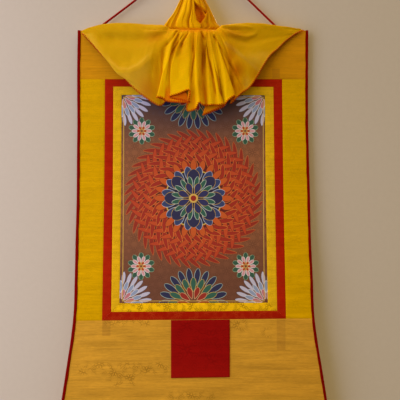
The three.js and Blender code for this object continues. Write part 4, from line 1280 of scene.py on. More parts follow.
# Spots of painted shade, under the swags and beside the skirt.
SHADED = [
    # in each table of spots: x, drop, half width, half height, share
    (-99, 281, 19, 30, 0.6), (-82, 255, 9, 40, 0.4), (-84, 176, 18, 10, 0.45), (60, 214, 13, 24, 0.7),
    (73, 240, 17, 24, 0.85), (78, 272, 11, 20, 0.65), (110, 247, 11, 17, 0.4), (64, 172, 26, 9, 0.4),
    (-38, 206, 14, 26, 0.3), (12, 210, 14, 50, 0.3), (8, 275, 9, 30, 0.6),
]
# Painted orange reflected light round the waist, and painted shade just under the tie.
WAIST_GLOW = [(-10, 166, 74, 34, 0.3)]
UNDER_TIE_SHADE = [(-10, 163, 52, 9, 0.7)]
# Spots where a wing is pale and carries a painted highlight.
SHEER_AND_HIGHLIGHT_SPOTS = [(110, 218, 18, 12, 0.9), (126, 208, 15, 9, 0.7), (93, 264, 8, 14, 0.8)]
# Lines of the two lips: the left one bounds the pale cloth below it, and painted highlights run along both.
LEFT_LIP = [
    (-205, 162), (-187, 197), (-172, 221), (-156, 235), (-138, 237), (-119, 230), (-99, 213), (-85, 198),
    (-66, 176),
]
RIGHT_LIP = [(52, 189), (79, 209), (98, 223), (114, 236)]
print("shaded spots", len(SHADED), "sheer spots", len(SHEER_AND_HIGHLIGHT_SPOTS))

# %% [markdown]
# Where two layers lie together the skirt gets a deeper colour with painted fill light, a valley gets painted
# shade, and the hem is turned. Deep valleys near the hem, an inner fold and the waist get painted orange
# reflected light, and painted shade lies just under the tie. A valley is found by looking along each row of
# the grid for a ridge on both sides. Where two marks of a kind meet, the stronger one counts: a sum would
# leave a bright or dark blot there.

# %% Marks on the cover cloth
def strongest(*layers):
    return np.maximum.reduce(np.broadcast_arrays(*layers))


def patches(rows, x, drop):
    """Soft spots laid over each other."""
    spots = []
    for at, low, wide, tall, share in rows:
        spots.append(share * np.exp(-((x - at) / wide) ** 2 - ((drop - low) / tall) ** 2))
    return strongest(*spots)


def valley_depth(out, reach):
    """How far each spot lies behind the ridges on both of its sides."""
    padded = np.pad(out, ((0, 0), (reach, reach)), mode="edge")
    count = out.shape[1]
    before = np.max([padded[:, k:k + count] for k in range(reach)], axis=0)
    after = np.max([padded[:, k:k + count] for k in range(reach + 1, 2 * reach + 1)], axis=0)
    return np.minimum(before, after) - out


def sheer_and_highlight_mark(x, drop, hem):
    """Pale cloth under the left lip; painted highlights on both lips, a few spots and the wings' hem."""
    from_left, above, _ = line_gap(x, drop, LEFT_LIP)
    from_right, _, _ = line_gap(x, drop, RIGHT_LIP)
    layers = {
        "under_lip": ramp(-90 - x, 0, 16) * (1 - above) * ramp(from_left, 0, 12),
        "left_lip_highlight": np.exp(-(from_left / 3) ** 2) * ramp(-70 - x, 0, 30) * ramp(drop, 200, 24),
        "right_lip_highlight": np.exp(-(from_right / 4) ** 2),
        "hem": hem,
    }
    shares = [SHEER_AND_HIGHLIGHT_SHARES[layer] * value for layer, value in layers.items()]
    return strongest(patches(SHEER_AND_HIGHLIGHT_SPOTS, x, drop), *shares)


def cloth_marks(grid, push, to_hem):
    x, out, drop = grid[..., 0], -grid[..., 1], -grid[..., 2]
    fold = np.arange(out.shape[1]) / VEIL_SPLIT
    low = ramp(veil_times[:, None], 0.8, 0.1)
    below_waist = ramp(veil_times[:, None], 0.12, 0.03)
    wing = ramp(np.abs(fold - SKIRT_MIDDLE), SKIRT_HALF, 1)
    hem = ramp(HEM_BAND - to_hem, 0, 0.8)
    # Where two layers lie together: a deeper colour with painted fill light, on the skirt and part of the
    # right side.
    to_right = np.maximum(ramp(SKIRT_END - fold, 0, SKIRT_EASE), RIGHT_DOUBLED_AND_FILL_LIGHT)
    doubled_and_fill_light = ramp(fold, SKIRT_START, SKIRT_EASE) * to_right + 0 * out
    # Painted shade in the valleys and pressed-in creases of the two layers, and in the shaded spots.
    valley = VALLEY_SHARE * ramp(valley_depth(out, VEIL_SPLIT), 0.5, HOLLOW_DEEP)
    crease = CREASE_SHARE * ramp(-push, 0, 3)
    hollow = strongest(doubled_and_fill_light * below_waist * (valley + crease), patches(SHADED, x, drop))
    # The skirt's turned hem has its own orange. Deep valleys, an inner fold and the waist get painted orange
    # reflected light, and painted shade lies just under the tie.
    turned = strongest(
        doubled_and_fill_light * low * ramp(valley_depth(out, 2 * VEIL_SPLIT), 3, 6),
        INNER_REFLECTED_LIGHT * low * ramp(1.8 - np.abs(fold - INNER_FOLD), 0, 1),
        HEM_TINT * hem * (1 - wing),
        below_waist * patches(WAIST_GLOW, x, drop),
        patches(UNDER_TIE_SHADE, x, drop),
    )
    # On the wings the hem band carries a painted highlight.
    return dict(zip(CLOTH_MARKS, (doubled_and_fill_light, sheer_and_highlight_mark(x, drop, hem * wing), hollow, turned)))


print("marks", CLOTH_MARKS)

# %% [markdown]
# The sheet gets its thickness from the grid's normals, with a thicker band along the hem, where the edge is
# turned and overcast. A Solidify modifier with a vertex group could do that too, but the distance to the hem
# is known here already, and it also gives the marks. Distances along the cloth become its UV map, so the
# weave follows every fold.

# %% Cover cloth sheet
VEIL_THICK = 0.7
HEM_SWELL = 0.9


def veil_sheet(grid, push):
    lengths = np.linalg.norm(np.diff(grid, axis=0), axis=-1)
    to_hem = np.concatenate([np.cumsum(lengths[::-1], axis=0)[::-1], np.zeros((1, grid.shape[1]))])
    half = VEIL_THICK / 2 * (1 + HEM_SWELL * ramp(HEM_BAND - to_hem, 0, 0.6))
    offset = face_normals(grid) * half[..., None]
    points = np.concatenate([(grid + offset).reshape(-1, 3), (grid - offset).reshape(-1, 3)])
    steps = np.linalg.norm(np.diff(grid, axis=1), axis=-1)
    across = np.concatenate([np.zeros((grid.shape[0], 1)), np.cumsum(steps, axis=1)], 1)
    uv = np.stack([across, -to_hem], -1).reshape(-1, 2)
    faces, sides = sheet_faces(*grid.shape[:2])
    marks = {mark: np.tile(value.ravel(), 2) for mark, value in cloth_marks(grid, push, to_hem).items()}
    return points, faces, sides, np.concatenate([uv, uv]), marks


veil_points, veil_faces, veil_sides, veil_uv, veil_marks = veil_sheet(grid, crease_push)
print("cover cloth", len(veil_faces), "faces")

# %% [markdown]
# Above the waist the same cloth is bunched up towards the top of the cord. The bunch is a stack of rings:
# each level has its width and depth, and all share one row of pleats across the front, with a loop that
# stands open as a dark hollow. Fine pleat lines run from the waist to the tip and drift as they rise. Such a
# form is often sculpted, but a table can be checked level by level.

# %% Bunch tables
BUNCH_COLUMNS = ("drop", "left", "right", "back", "front", "grooves")
BUNCH = np.array([
    (173, -48, 26, 14, 27, 0), (163, -57, 34, 9, 33, 0.3), (159.5, -58, 35, 9, 33.3, 0.6),
    (156.5, -68, 41, 9, 35.8, 0.9), (154, -72, 44.5, 9, 36.3, 1), (151, -71, 42.5, 8, 36.5, 1),
    (146, -67.5, 37, 8, 36.8, 1), (138, -61.5, 33, 8, 37.5, 1), (129, -54, 28.5, 8, 38, 1),
    (111, -44, 20, 8, 35, 1), (98, -38, 13, 8, 32, 1), (74, -29, 8, 8, 27, 0.9), (48, -20, 5, 7, 22, 0.8),
    (27, -12, 4, 6, 17, 0.6), (17, -7, 3, 7, 14, 0.3),
])[::-1]
PLEATS = np.array([
    # place across, groove
    (-0.96, 0), (-0.86, 0), (-0.74, 0.34), (-0.67, 0.08), (-0.6, 0.26), (-0.5, 0), (-0.34, 0), (-0.17, 0.0),
    (-0.1, 0.34), (-0.03, 0.04), (0.05, 0.02), (0.13, 0.1), (0.26, 0.12), (0.42, 0.12), (0.55, 0.1),
    (0.63, 0), (0.76, 0.05), (0.88, 0), (0.96, 0),
])
PLEAT_LINES = [
    # place at the waist, a quarter of the way up and at the tip, depth, width to the left and to the right
    (-0.84, -0.88, -0.8, 1.6, 0.012, 0.1), (-0.68, -0.72, -0.6, 2.2, 0.014, 0.1),
    (-0.5, -0.64, -0.66, 1.6, 0.1, 0.014), (-0.3, -0.36, -0.3, 0.8, 0.012, 0.09),
    (-0.1, -0.07, -0.1, 1.9, 0.04, 0.014), (0.06, 0.0, 0.05, 1.0, 0.012, 0.05),
    (0.3, 0.42, 0.3, 1.5, 0.014, 0.08), (0.53, 0.76, 0.5, 1.7, 0.08, 0.014),
    (0.74, 0.82, 0.74, 0.9, 0.014, 0.08),
]
PLEAT_SHARE = 0.45
LOOP = [(-9.6, 104), (16.5, 124), (12, 136), (2.5, 149), (-5, 142), (-9, 122)]
LOOP_FOLD = [(-6, 106), (4, 116), (13, 131)]
LOOP_FOLD_WIDE = 2.2
LOOP_FOLD_SHARE = 0.55
LOOP_RIM = 4.0
LOOP_DEEP = 13.0
BUNCH_WAIST = 163
BUNCH_TALL = 146
print("bunch levels", len(BUNCH), "pleats", len(PLEATS), "pleat lines", len(PLEAT_LINES))

# %% [markdown]
# The loop and the fine lines are depths that are cut into the front of the bunch. The loop is the inside of a
# polygon: the depth grows with the distance from its nearest side, so the rim is soft. A Boolean cut would
# leave a sharp rim, and cloth has none.

# %% Loop and pleat lines
def open_loop(x, drop):
    """Depth of the open loop: a hollow with a soft rim, crossed by an inner fold."""
    corners = np.array(LOOP, float)
    ahead = np.roll(corners, -1, axis=0)
    inside = np.full(x.shape, 1e9)
    for (ax, ad), (bx, bd) in zip(corners, ahead):
        run = math.hypot(bx - ax, bd - ad)
        inside = np.minimum(inside, ((bx - ax) * (drop - ad) - (bd - ad) * (x - ax)) / run)
    deep = np.clip(inside / LOOP_RIM + 0.2, 0, 1)
    gap, _, _ = line_gap(x, drop, LOOP_FOLD)
    fold = LOOP_FOLD_SHARE * np.exp(-(gap / LOOP_FOLD_WIDE) ** 2)
    return LOOP_DEEP * deep * deep * (3 - 2 * deep) * (1 - fold)


def pleat_lines(at, rise):
    """Depth of the fine lines, with a slow uneven swell between them."""
    depth = -0.4 * np.sin(at * 13 + rise * 5) * np.sin(rise * 14 + at * 4)
    for low, middle, high, deep, left_wide, right_wide in PLEAT_LINES:
        spot = smooth((0, 0.25, 1), (low, middle, high), rise)
        wide = np.where(at < spot, left_wide, right_wide)
        depth += deep * np.exp(-((at - spot) / wide) ** 2)
    return depth


print("loop corners", len(LOOP))

# %% [markdown]
# The front of each ring is a flattened arch that pleats, loop and lines cut into, and its back a plain arch
# with a little wave. A cone with a Displace modifier would be quicker, but each pleat here has a place of its
# own, and the points crowd on the front, where the pleats are.

# %% Gathered bunch
BUNCH_LEVELS = 110
BUNCH_FRONT = 150
BUNCH_BACK = 36
LINES_END = 168
LINES_EASE = 12
# Shares of painted shade on the bunch, and of painted orange shade inside its loop.
BUNCH_SHADE = 0.15
RIGHT_SHADE = 0.3
RIGHT_FROM = 0.3
MOST_SHADE = 0.7
LOOP_PAINTED_SHADE = 0.75


def rings_at(x, out, drops):
    return np.stack([x, -out, np.broadcast_to(-drops[:, None], out.shape)], -1)


def gathered_bunch():
    drops = np.linspace(BUNCH[0, 0], BUNCH[-1, 0], BUNCH_LEVELS)
    level = dict(zip(BUNCH_COLUMNS, smooth(BUNCH[:, 0], BUNCH, drops).T[:, :, None]))
    centre_x = (level["left"] + level["right"]) / 2
    half_x = (level["right"] - level["left"]) / 2
    centre_out = (level["front"] + level["back"]) / 2
    half_out = (level["front"] - level["back"]) / 2
    rise = ramp(BUNCH_WAIST - drops, 0, BUNCH_TALL)[:, None]
    at = np.linspace(PLEATS[0, 0], PLEATS[-1, 0], BUNCH_FRONT)
    dent = PLEAT_SHARE * smooth(PLEATS[:, 0], PLEATS[:, 1], at) * level["grooves"]
    front_x = centre_x + half_x * at
    loop = open_loop(front_x, drops[:, None] + 0 * front_x)
    full = ramp(LINES_END - drops, 0, LINES_EASE)[:, None] * np.clip(half_out / 12, 0.2, 1)
    lines = pleat_lines(at, rise) * full
    front_out = centre_out + half_out * (np.sqrt(1 - at ** 2) - dent) - loop - lines
    angle = math.pi * np.linspace(0.03, 0.97, BUNCH_BACK)
    wave = 1 + 0.09 * np.sin(angle * 17 + rise * 4) + 0.06 * np.sin(angle * 29 - rise * 3)
    rear_out = centre_out - half_out * np.sin(angle) * wave
    rear = rings_at(centre_x + half_x * np.cos(angle), rear_out, drops)
    rings = np.concatenate([rings_at(front_x, front_out, drops), rear], 1)
    behind = ((0, 0), (0, BUNCH_BACK))
    plain = np.zeros(rings.shape[:2])
    # Painted orange shade inside the open loop.
    turned = np.pad(LOOP_PAINTED_SHADE * loop / LOOP_DEEP, behind)
    # Painted shade over the bunch, more on its right side away from the window, and in the pleat lines.
    shade = BUNCH_SHADE + RIGHT_SHADE * (at > RIGHT_FROM) + lines / 4
    hollow = np.pad(np.clip(shade, 0, MOST_SHADE), behind)
    # The whole bunch takes the two-layer mark, with its painted fill light.
    return rings, dict(zip(CLOTH_MARKS, (plain + 1, plain, hollow, turned)))


bunch_rings, bunch_marks = gathered_bunch()
print("bunch", bunch_rings.shape[0], "rings of", bunch_rings.shape[1], "points")

# %% [markdown]
# The bunch and the sheet below it are one cloth, so they become one mesh. Two objects with the same finish
# would render alike, but one cloth is one piece, and it is moved and counted as one.

# %% Cover cloth as one piece
def ring_faces(count, n, start=0):
    index = start + np.arange(count * n).reshape(count, n)
    after = np.roll(index, -1, axis=1)
    walls = np.stack([index[:-1], index[1:], after[1:], after[:-1]], -1).reshape(-1, 4).tolist()
    return walls + [index[0].tolist(), index[-1][::-1].tolist()]


def cover_cloth(rings, marks):
    count, n = rings.shape[:2]
    marks = {mark: np.concatenate([veil_marks[mark], values.ravel()]) for mark, values in marks.items()}
    steps = np.linalg.norm(np.diff(rings, axis=1, append=rings[:, :1]), axis=-1)
    around = np.broadcast_to(np.cumsum(steps.mean(axis=0)), steps.shape)
    uv = np.stack([around, rings[..., 2]], -1).reshape(-1, 2)
    faces = veil_faces.tolist() + ring_faces(count, n, len(veil_points))
    sides = np.concatenate([veil_sides, np.zeros(len(faces) - len(veil_faces), int)])
    piece = make_mesh("veil_cloth", np.concatenate([veil_points, rings.reshape(-1, 3)]), faces,
                      ("cover_silk", "cover_reverse_shaded"), sides, np.concatenate([veil_uv, uv]), marks)
    return settle(piece, "veil_silk", "veil")


veil = cover_cloth(bunch_rings, bunch_marks)
print("cover cloth and bunch", len(veil.data.polygons), "faces")

# %% [markdown]
# A narrow band of the same silk ties the waist. It is an oval ring with a soft flattened section. A torus
# would be quicker but too even: here the band crimps as it goes round and sags a little.

# %% Tie
WAIST = {"left": -57.0, "right": 34.0, "back": 9.0, "front": 33.5}
TIE_DROP = 159.6
TIE_HALF_TALL = 1.5
TIE_CLEAR = 0.6
TIE_THICK = 1.0


def flattened(wave):
    return np.sign(wave) * np.abs(wave) ** 0.6


def waist_tie():
    a = np.linspace(0, 2 * math.pi, 160, endpoint=False)[:, None]
    b = np.linspace(0, 2 * math.pi, 14, endpoint=False)[None, :]
    crimp = (0.18 * np.sin(a * 23) + 0.12 * np.sin(a * 41 + 1)) * (np.cos(b) > 0)
    grow = TIE_CLEAR + TIE_THICK / 2 * (1 + flattened(np.cos(b))) + crimp
    half_x = (WAIST["right"] - WAIST["left"]) / 2 + grow
    half_out = (WAIST["front"] - WAIST["back"]) / 2 + grow
    x = (WAIST["left"] + WAIST["right"]) / 2 + half_x * np.cos(a)
    out = (WAIST["front"] + WAIST["back"]) / 2 + half_out * np.sin(a)
    tall = TIE_HALF_TALL * (1 + 0.08 * np.sin(a * 9))
    drop = TIE_DROP + 0.4 * np.sin(a * 2 + 1) + tall * flattened(np.sin(b))
    rings = np.stack([x, -out, -drop], -1)
    index = np.arange(rings.shape[0] * rings.shape[1]).reshape(rings.shape[:2])
    along, around = np.roll(index, -1, axis=0), np.roll(index, -1, axis=1)
    both = np.roll(along, -1, axis=1)
    faces = np.stack([index, along, both, around], -1).reshape(-1, 4)
    piece = make_mesh("veil_tie_cloth", rings.reshape(-1, 3), faces, ("tie_silk",))
    return settle(piece, "tie_silk", "veil_tie")


tie = waist_tie()
print("tie", len(tie.data.polygons), "faces")

# %% [markdown]
# The cord is a fixed length of twisted cotton, taut from the scroll's top edge up to the point that it hangs
# from. It runs straight, with rounded corners, and its ends are sewn behind the top panel. Three plies twist
# about its middle line, so its section is a rounded clover that turns as it goes. Three swept plies would
# look alike from a step away and cost three times the faces.

# %% Hanging cord
CORD_RADIUS = 2.15
CORD_BEND = 10.0
CORD_TURN = 13.0
CORD_STEP = 1.3
CORD_PLIES = 3
CORD_CORNERS = np.array([
    (-214, 0, -178), (-213.5, 0, -157), (0, 0, 4.9), (167.3, 0, -157), (169, 0, -178),
])


def reach_along(line):
    """Distance along a list of points, from its first."""
    return np.concatenate([[0], np.cumsum(np.linalg.norm(np.diff(line, axis=0), axis=1))])


def read_along(even, reach, rows):
    return np.stack([np.interp(even, reach, axis) for axis in rows.T], 1)


def unit(vectors):
    return vectors / np.linalg.norm(vectors, axis=-1, keepdims=True)


def rounded_route(corners, radius, step):
    """Straight runs with round corners, as points a step apart."""
    route = [corners[0]]
    share = np.linspace(0, 1, 9)[:, None]
    for before, here, after in zip(corners[:-2], corners[1:-1], corners[2:]):
        u = unit(before - here)
        v = unit(after - here)
        half = math.acos(u @ v) / 2
        centre = here + unit(u + v) * radius / math.sin(half)
        spoke = here + u * radius / math.tan(half) - centre
        other = here + v * radius / math.tan(half) - centre
        swing = math.pi - 2 * half
        arc = np.sin((1 - share) * swing) * spoke + np.sin(share * swing) * other
        route.extend(centre + arc / math.sin(swing))
    route = np.array([*route, corners[-1]])
    reach = reach_along(route)
    even = np.linspace(0, reach[-1], int(reach[-1] / step))
    return read_along(even, reach, route), reach[-1]


def hanging_cord():
    route, long = rounded_route(CORD_CORNERS, CORD_BEND, CORD_STEP)
    level = np.array([0, 1, 0])
    side = np.cross(unit(np.gradient(route, axis=0)), level)
    a = np.linspace(0, 2 * math.pi, 18, endpoint=False)[None, :]
    twist = np.linspace(0, long, len(route))[:, None] * 2 * math.pi / CORD_TURN
    size = CORD_RADIUS * (0.87 + 0.15 * np.abs(np.cos(CORD_PLIES / 2 * (a - twist))) ** 0.8)
    spokes = side[:, None] * np.cos(a)[..., None] + level * np.sin(a)[..., None]
    rings = route[:, None] + spokes * size[..., None]
    faces = ring_faces(*rings.shape[:2])
    piece = make_mesh("hanging_cord_twist", rings.reshape(-1, 3), faces, ("cord_cotton",))
    settle(piece, "cord", "hanging_cord")
    print("cord", round(long), "mm")


hanging_cord()

# %% [markdown]
# The rod is turned wood, plain, with its ends eased. A cylinder with bevelled ends would do, but a profile
# spun round its axis also takes the slight unevenness of turned wood.

# %% Bottom rod
ROD_PAST_EDGE = 16.0
ROD_ROUND = 3.0
ROD_PLAIN_FROM = 12.0
ROD_END_RINGS = (0.4, 3.0, 5.5)
ROD_UNEVEN = 0.004


def bottom_rod():
    left = float(left_edge(ROD_DROP)) - ROD_PAST_EDGE
    right = float(right_edge(ROD_DROP)) + ROD_PAST_EDGE
    a = np.linspace(0, math.pi / 2, 7)
    ease = np.stack([left + ROD_ROUND * (1 - np.cos(a)), ROD_RADIUS - ROD_ROUND + ROD_ROUND * np.sin(a)], 1)
    half = np.concatenate([[(left, radius) for radius in ROD_END_RINGS], ease])
    long = np.linspace(left + ROD_PLAIN_FROM, right - ROD_PLAIN_FROM, 40)
    mirror = half[::-1] * (-1, 1) + (left + right, 0)
    profile = np.concatenate([half, np.stack([long, np.full(long.shape, ROD_RADIUS)], 1), mirror])
    turn = np.linspace(0, 2 * math.pi, 64, endpoint=False)[None, :]
    size = profile[:, 1:] * (1 + ROD_UNEVEN * np.sin(profile[:, :1] / 23 + turn))
    rings = np.stack([np.broadcast_to(profile[:, :1], size.shape), ROD_CENTRE_Y + size * np.sin(turn),
                      -ROD_DROP + size * np.cos(turn)], -1)
    piece = make_mesh("bottom_rod_wood", rings.reshape(-1, 3), ring_faces(*rings.shape[:2]), ("rod_wood",))
    settle(piece, "rod_wood", "bottom_rod")
    print("rod", round(right - left), "mm")


bottom_rod()

# %% [markdown]
# Sewing repeats along lines, which is work for Geometry Nodes. One tree sets short stitches along a seam, and
# another sweeps a thread along a path. A loop that copies beads would do too, but a tree keeps the spacing
# when a line gets longer. Both take their sizes as named inputs and end in real mesh, so that nothing depends
# on instances later.

# %% Sewing trees
def sewing_tree(name, inputs, build):
    tree = bpy.data.node_groups.new(name, "GeometryNodeTree")
    tree.interface.new_socket("Geometry", in_out="INPUT", socket_type="NodeSocketGeometry")
    tree.interface.new_socket("Geometry", in_out="OUTPUT", socket_type="NodeSocketGeometry")
    for label, kind in inputs.items():
        tree.interface.new_socket(label, in_out="INPUT", socket_type=kind)
    start = tree.nodes.new("NodeGroupInput")
    end = tree.nodes.new("NodeGroupOutput")

    def node(kind, settings=None, links=None, output=0):
        made = tree.nodes.new(kind)
        for key, value in (settings or {}).items():
            setattr(made, key, value)
        for key, value in (links or {}).items():
            if isinstance(value, bpy.types.NodeSocket):
                tree.links.new(value, made.inputs[key])
            else:
                made.inputs[key].default_value = value
        return made.outputs[output]

    made = build(node, start.outputs)
    real = node("GeometryNodeRealizeInstances", None, {0: made})
    dressed = node("GeometryNodeSetMaterial", None, {"Geometry": real, "Material": start.outputs["Material"]})
    tree.links.new(dressed, end.inputs[0])
    return tree


def stitch_nodes(node, given):
    curve = node("GeometryNodeMeshToCurve", None, {0: given["Geometry"]})
    points = node("GeometryNodeResampleCurve", {"mode": "LENGTH"}, {0: curve, "Length": given["Spacing"]})
    bead = node("GeometryNodeMeshUVSphere", None, {"Segments": 6, "Rings": 4, "Radius": 1.0})
    tangent = node("GeometryNodeInputTangent")
    aim = node("FunctionNodeAlignRotationToVector", {"axis": "Z"}, {"Vector": tangent})
    radius = given["Radius"]
    size = node("ShaderNodeCombineXYZ", None, {0: radius, 1: radius, 2: given["Half Length"]})
    inputs = {"Points": points, "Instance": bead, "Rotation": aim, "Scale": size}
    return node("GeometryNodeInstanceOnPoints", None, inputs)


def thread_nodes(node, given):
    curve = node("GeometryNodeMeshToCurve", None, {0: given["Geometry"]})
    section = node("GeometryNodeCurvePrimitiveCircle", None, {"Resolution": 5, "Radius": given["Radius"]})
    inputs = {"Curve": curve, "Profile Curve": section, "Fill Caps": True}
    swept = node("GeometryNodeCurveToMesh", None, inputs)
    return node("GeometryNodeSetShadeSmooth", None, {0: swept})


SIZE = "NodeSocketFloat"
THREAD_INPUTS = {"Radius": SIZE, "Material": "NodeSocketMaterial"}
STITCH_INPUTS = {"Spacing": SIZE, "Half Length": SIZE} | THREAD_INPUTS
STITCHES = sewing_tree("stitches", STITCH_INPUTS, stitch_nodes)
THREAD = sewing_tree("thread", THREAD_INPUTS, thread_nodes)
print("sewing trees ready")

# %% [markdown]
# A tree works on a piece whose mesh is only lines. Its modifier's inputs are set by their identifiers, the
# result is taken as a plain mesh, and the modifier goes, so that what is left is a piece like any other.

# %% Sewn pieces
def sewn(name, lines, tree, slot, **inputs):
    """A piece grown by a sewing tree along lines of points in millimetres."""
    points = np.concatenate(lines) * MM
    starts = np.cumsum([0] + [len(line) for line in lines[:-1]])
    edges = [(s + k, s + k + 1) for s, line in zip(starts, lines) for k in range(len(line) - 1)]
    base = bpy.data.meshes.new(name)
    base.from_pydata(points.tolist(), [], [])
    base.edges.add(len(edges))
    base.edges.foreach_set("vertices", np.array(edges, np.int32).ravel())
    holder = bpy.data.objects.new(name, base)
    bpy.context.scene.collection.objects.link(holder)
    grow = holder.modifiers.new("grow", "NODES")
    grow.node_group = tree
    for item in tree.interface.items_tree:
        if item.in_out == "INPUT" and item.name in inputs:
            grow[item.identifier] = inputs[item.name]
    depsgraph = bpy.context.evaluated_depsgraph_get()
    mesh = bpy.data.meshes.new_from_object(holder.evaluated_get(depsgraph))
    holder.modifiers.remove(grow)
    holder.data = mesh
    print(name, len(mesh.polygons), "faces")
    return settle(holder, slot)


print("sewing helper ready")

# %% [markdown]
# The cover cloth's edge is overcast: one orange thread winds round it in close turns. Its path is a coil
# whose middle line is the hem, worked out from the hem's own direction and normal, and the thread tree sweeps
# it. A dotted line in the finish would lie flat, while this thread stands off the edge as a real one does.

# %% Overcast hem
HEM_PITCH = 4.2
HEM_COIL = 1.4
HEM_COIL_SHARES = (0.85, 1.15)
HEM_POINTS = 8
HEM_THREAD = 0.7
HEM_INSET = 0.2


def overcast_hem():
    edge = grid[-1] - (grid[-1] - grid[-2]) * HEM_INSET
    reach = reach_along(edge)
    even = np.linspace(0, reach[-1], int(reach[-1] / HEM_PITCH * HEM_POINTS))
    line = read_along(even, reach, edge)
    normal = read_along(even, reach, face_normals(grid)[-1])
    outward = np.cross(unit(np.gradient(line, axis=0)), normal)
    turn = (even / HEM_PITCH * 2 * math.pi)[:, None]
    through, over = HEM_COIL_SHARES
    coil = line + HEM_COIL * (normal * through * np.cos(turn) + outward * over * np.sin(turn))
    return sewn("veil_hem_thread", [coil], THREAD, "veil_silk", Radius=HEM_THREAD * MM,
                Material=FINISHES["hem_thread"])


hem_thread = overcast_hem()

# %% [markdown]
# Stitches show in three places: on both bindings, round the door patch and above the sleeve. Each is a line
# laid on the cloth's own relief, so the stitches rise and sink with the creases, and the stitch tree sets a
# bead of thread every few millimetres along it. Stitches in a bump map would vanish when seen from the side.

# %% Seam stitches
STITCH_RADIUS = 0.2
BINDING_STITCH_INSET = 1.2
DOOR_STITCH_INSET = 1.6
SLEEVE_STITCH_INSET = 9.0


def stitch_line(x, drop, lift):
    return on_cloth(np.asarray(x, float), np.asarray(drop, float), relief(x, drop) + lift)


def binding_lines():
    drops = np.linspace(TOP_DROP + 3, ROD_DROP - 4, 300)
    lift = CLOTH + SEAM_GAP + BINDING_THICK - 0.05
    left = left_edge(drops) + BINDING_WIDE["binding_left"] - BINDING_STITCH_INSET
    right = right_edge(drops) - BINDING_WIDE["binding_right"] + BINDING_STITCH_INSET
    return [stitch_line(x, drops, lift) for x in (left, right)]


def door_lines():
    top_left, top_right, low_left, low_right = DOOR
    corners = np.array([top_left, top_right, low_right, low_left, top_left])
    inward = np.array([(1, 1), (-1, 1), (-1, -1), (1, -1), (1, 1)])
    corners = corners + inward * DOOR_STITCH_INSET
    share = np.linspace(0, 1, 60)
    lines = []
    for (ax, ad), (bx, bd) in zip(corners[:-1], corners[1:]):
        x = ax + (bx - ax) * share
        lines.append(stitch_line(x, ad + (bd - ad) * share, DOOR_BACK + DOOR_THICK - 0.3))
    return lines


def sleeve_lines():
    left = float(cut_left(ROD_DROP)) + SLEEVE_STITCH_INSET
    x = np.linspace(left, float(cut_right(ROD_DROP)) - SLEEVE_STITCH_INSET, 200)
    drop = np.full(x.shape, ROD_DROP - SLEEVE_RADIUS - SLEEVE_STITCH_INSET)
    return [stitch_line(x, drop, CLOTH + 0.05)]


SEAM_STITCHES = [
    # piece, lines, slot, thread, spacing, half length
    ("binding_stitches", binding_lines(), "binding", "red_thread", 3.2, 1.1),
    ("door_stitches", door_lines(), "door_brocade", "red_thread", 3.0, 1.0),
    ("sleeve_stitches", sleeve_lines(), "ochre_silk", "gold_thread", 3.4, 1.2),
]
for name, lines, slot, thread, spacing, half in SEAM_STITCHES:
    sizes = {"Spacing": spacing * MM, "Half Length": half * MM, "Radius": STITCH_RADIUS * MM}
    sewn(name, lines, STITCHES, slot, Material=FINISHES[thread], **sizes)

# %% [markdown]
# A hung scroll is read by the shadow that it throws behind it, so a plain backdrop stands just behind the
# cord. Its back is clear, so the scroll's own back can be looked at from behind. It is staging and no part of
# the scroll, and it sends no light back at the cloth.

# %% Backdrop
BACKDROP_Y = 9.0
BACKDROP_SIDES = (-3.0, 3.0)
BACKDROP_LEVELS = (-2.6, 1.6)


def backdrop_finish():
    finish = Finish("plain_backdrop", roughness=0.9, specular_ior_level=0.1)
    x, _, z = finish.place()
    shade = finish.noise(x, z, 9.0, 4.0)
    finish.paint({"base_color": finish.darken(srgb(200, 197, 193), shade * 0.06 + 0.97)})
    finish.bump(shade, 0.6, 0.25)
    facing = finish.node("ShaderNodeNewGeometry", None, None, "Backfacing")
    clear = finish.node("ShaderNodeBsdfTransparent")
    solid = Socket(finish, finish.shader.outputs[0])
    shown = finish.node("ShaderNodeMixShader", None, {0: facing, 1: solid, 2: clear})
    finish.put(finish.tree.nodes["Material Output"].inputs[0], shown)
    return finish.material


def backdrop():
    left, right = BACKDROP_SIDES
    low, high = BACKDROP_LEVELS
    y = BACKDROP_Y * MM
    mesh = bpy.data.meshes.new("backdrop")
    mesh.from_pydata([(left, y, low), (right, y, low), (right, y, high), (left, y, high)], [], [(0, 1, 2, 3)])
    mesh.materials.append(backdrop_finish())
    screen = bpy.data.objects.new("backdrop", mesh)
    bpy.context.scene.collection.objects.link(screen)
    screen.visible_shadow = False
    screen.visible_diffuse = False
    screen.visible_glossy = False


backdrop()
print("backdrop", BACKDROP_Y, "mm behind the cord's middle")

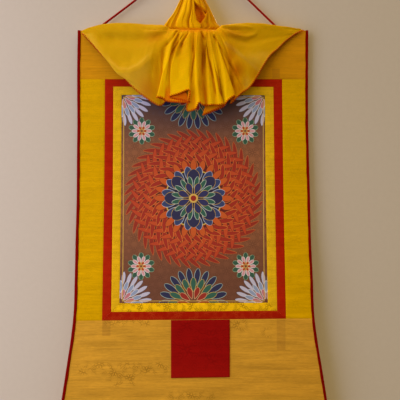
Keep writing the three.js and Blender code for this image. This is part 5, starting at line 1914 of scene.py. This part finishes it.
# %% [markdown]
# Soft daylight from the left gives the folds their form, as from a large window, and a weaker lamp behind
# lets the reverse be seen. Both are wide discs, because a small lamp would draw hard edges in thin cloth.

# %% Lights
LIGHTS = [
    # name, place, aim, size, power, colour
    ("window", (-1.3, -0.8, -0.4), (-0.05, 0, -0.5), 1.9, 20.6, (0.9, 0.84, 1.0)),
    ("back_fill", (0.6, 1.8, 0.4), (0, 0, -0.5), 1.4, 14.0, (1.0, 0.97, 0.93)),
]


def area_light(name, place, aim, size, power, colour):
    data = bpy.data.lights.new(name, "AREA")
    data.shape = "DISK"
    data.size = size
    data.energy = power
    data.color = colour
    light = bpy.data.objects.new(name, data)
    light.location = place
    way = np.array(aim) - np.array(place)
    flat = math.hypot(way[0], way[1])
    light.rotation_euler = (math.atan2(flat, -way[2]), 0, math.atan2(way[1], way[0]) - math.pi / 2)
    bpy.context.scene.collection.objects.link(light)


for row in LIGHTS:
    area_light(*row)
print("lights", [row[0] for row in LIGHTS])

# %% [markdown]
# The room itself gives the rest: a warm bright ceiling and a dim floor, blended by height. A picture of a
# room would do the same with more detail, but on dull silk only the light's direction and warmth show.

# %% Room light
FLOOR_GLOW = (0.11, 0.07, 0.03, 1.0)
CEILING_GLOW = (1.46, 1.1, 0.54, 1.0)
GLOW_FROM = -0.3


def room_light():
    world = bpy.data.worlds.new("room")
    world.use_nodes = True
    nodes = world.node_tree.nodes
    join = world.node_tree.links.new
    way = nodes.new("ShaderNodeTexCoord")
    split = nodes.new("ShaderNodeSeparateXYZ")
    height = nodes.new("ShaderNodeMapRange")
    height.inputs["From Min"].default_value = GLOW_FROM
    blend = nodes.new("ShaderNodeMix")
    blend.data_type = "RGBA"
    blend.inputs[6].default_value = FLOOR_GLOW
    blend.inputs[7].default_value = CEILING_GLOW
    join(way.outputs["Generated"], split.inputs[0])
    join(split.outputs["Z"], height.inputs["Value"])
    join(height.outputs[0], blend.inputs[0])
    join(blend.outputs[2], nodes["Background"].inputs["Color"])
    bpy.context.scene.world = world
    print("room light with", len(nodes), "nodes")


room_light()
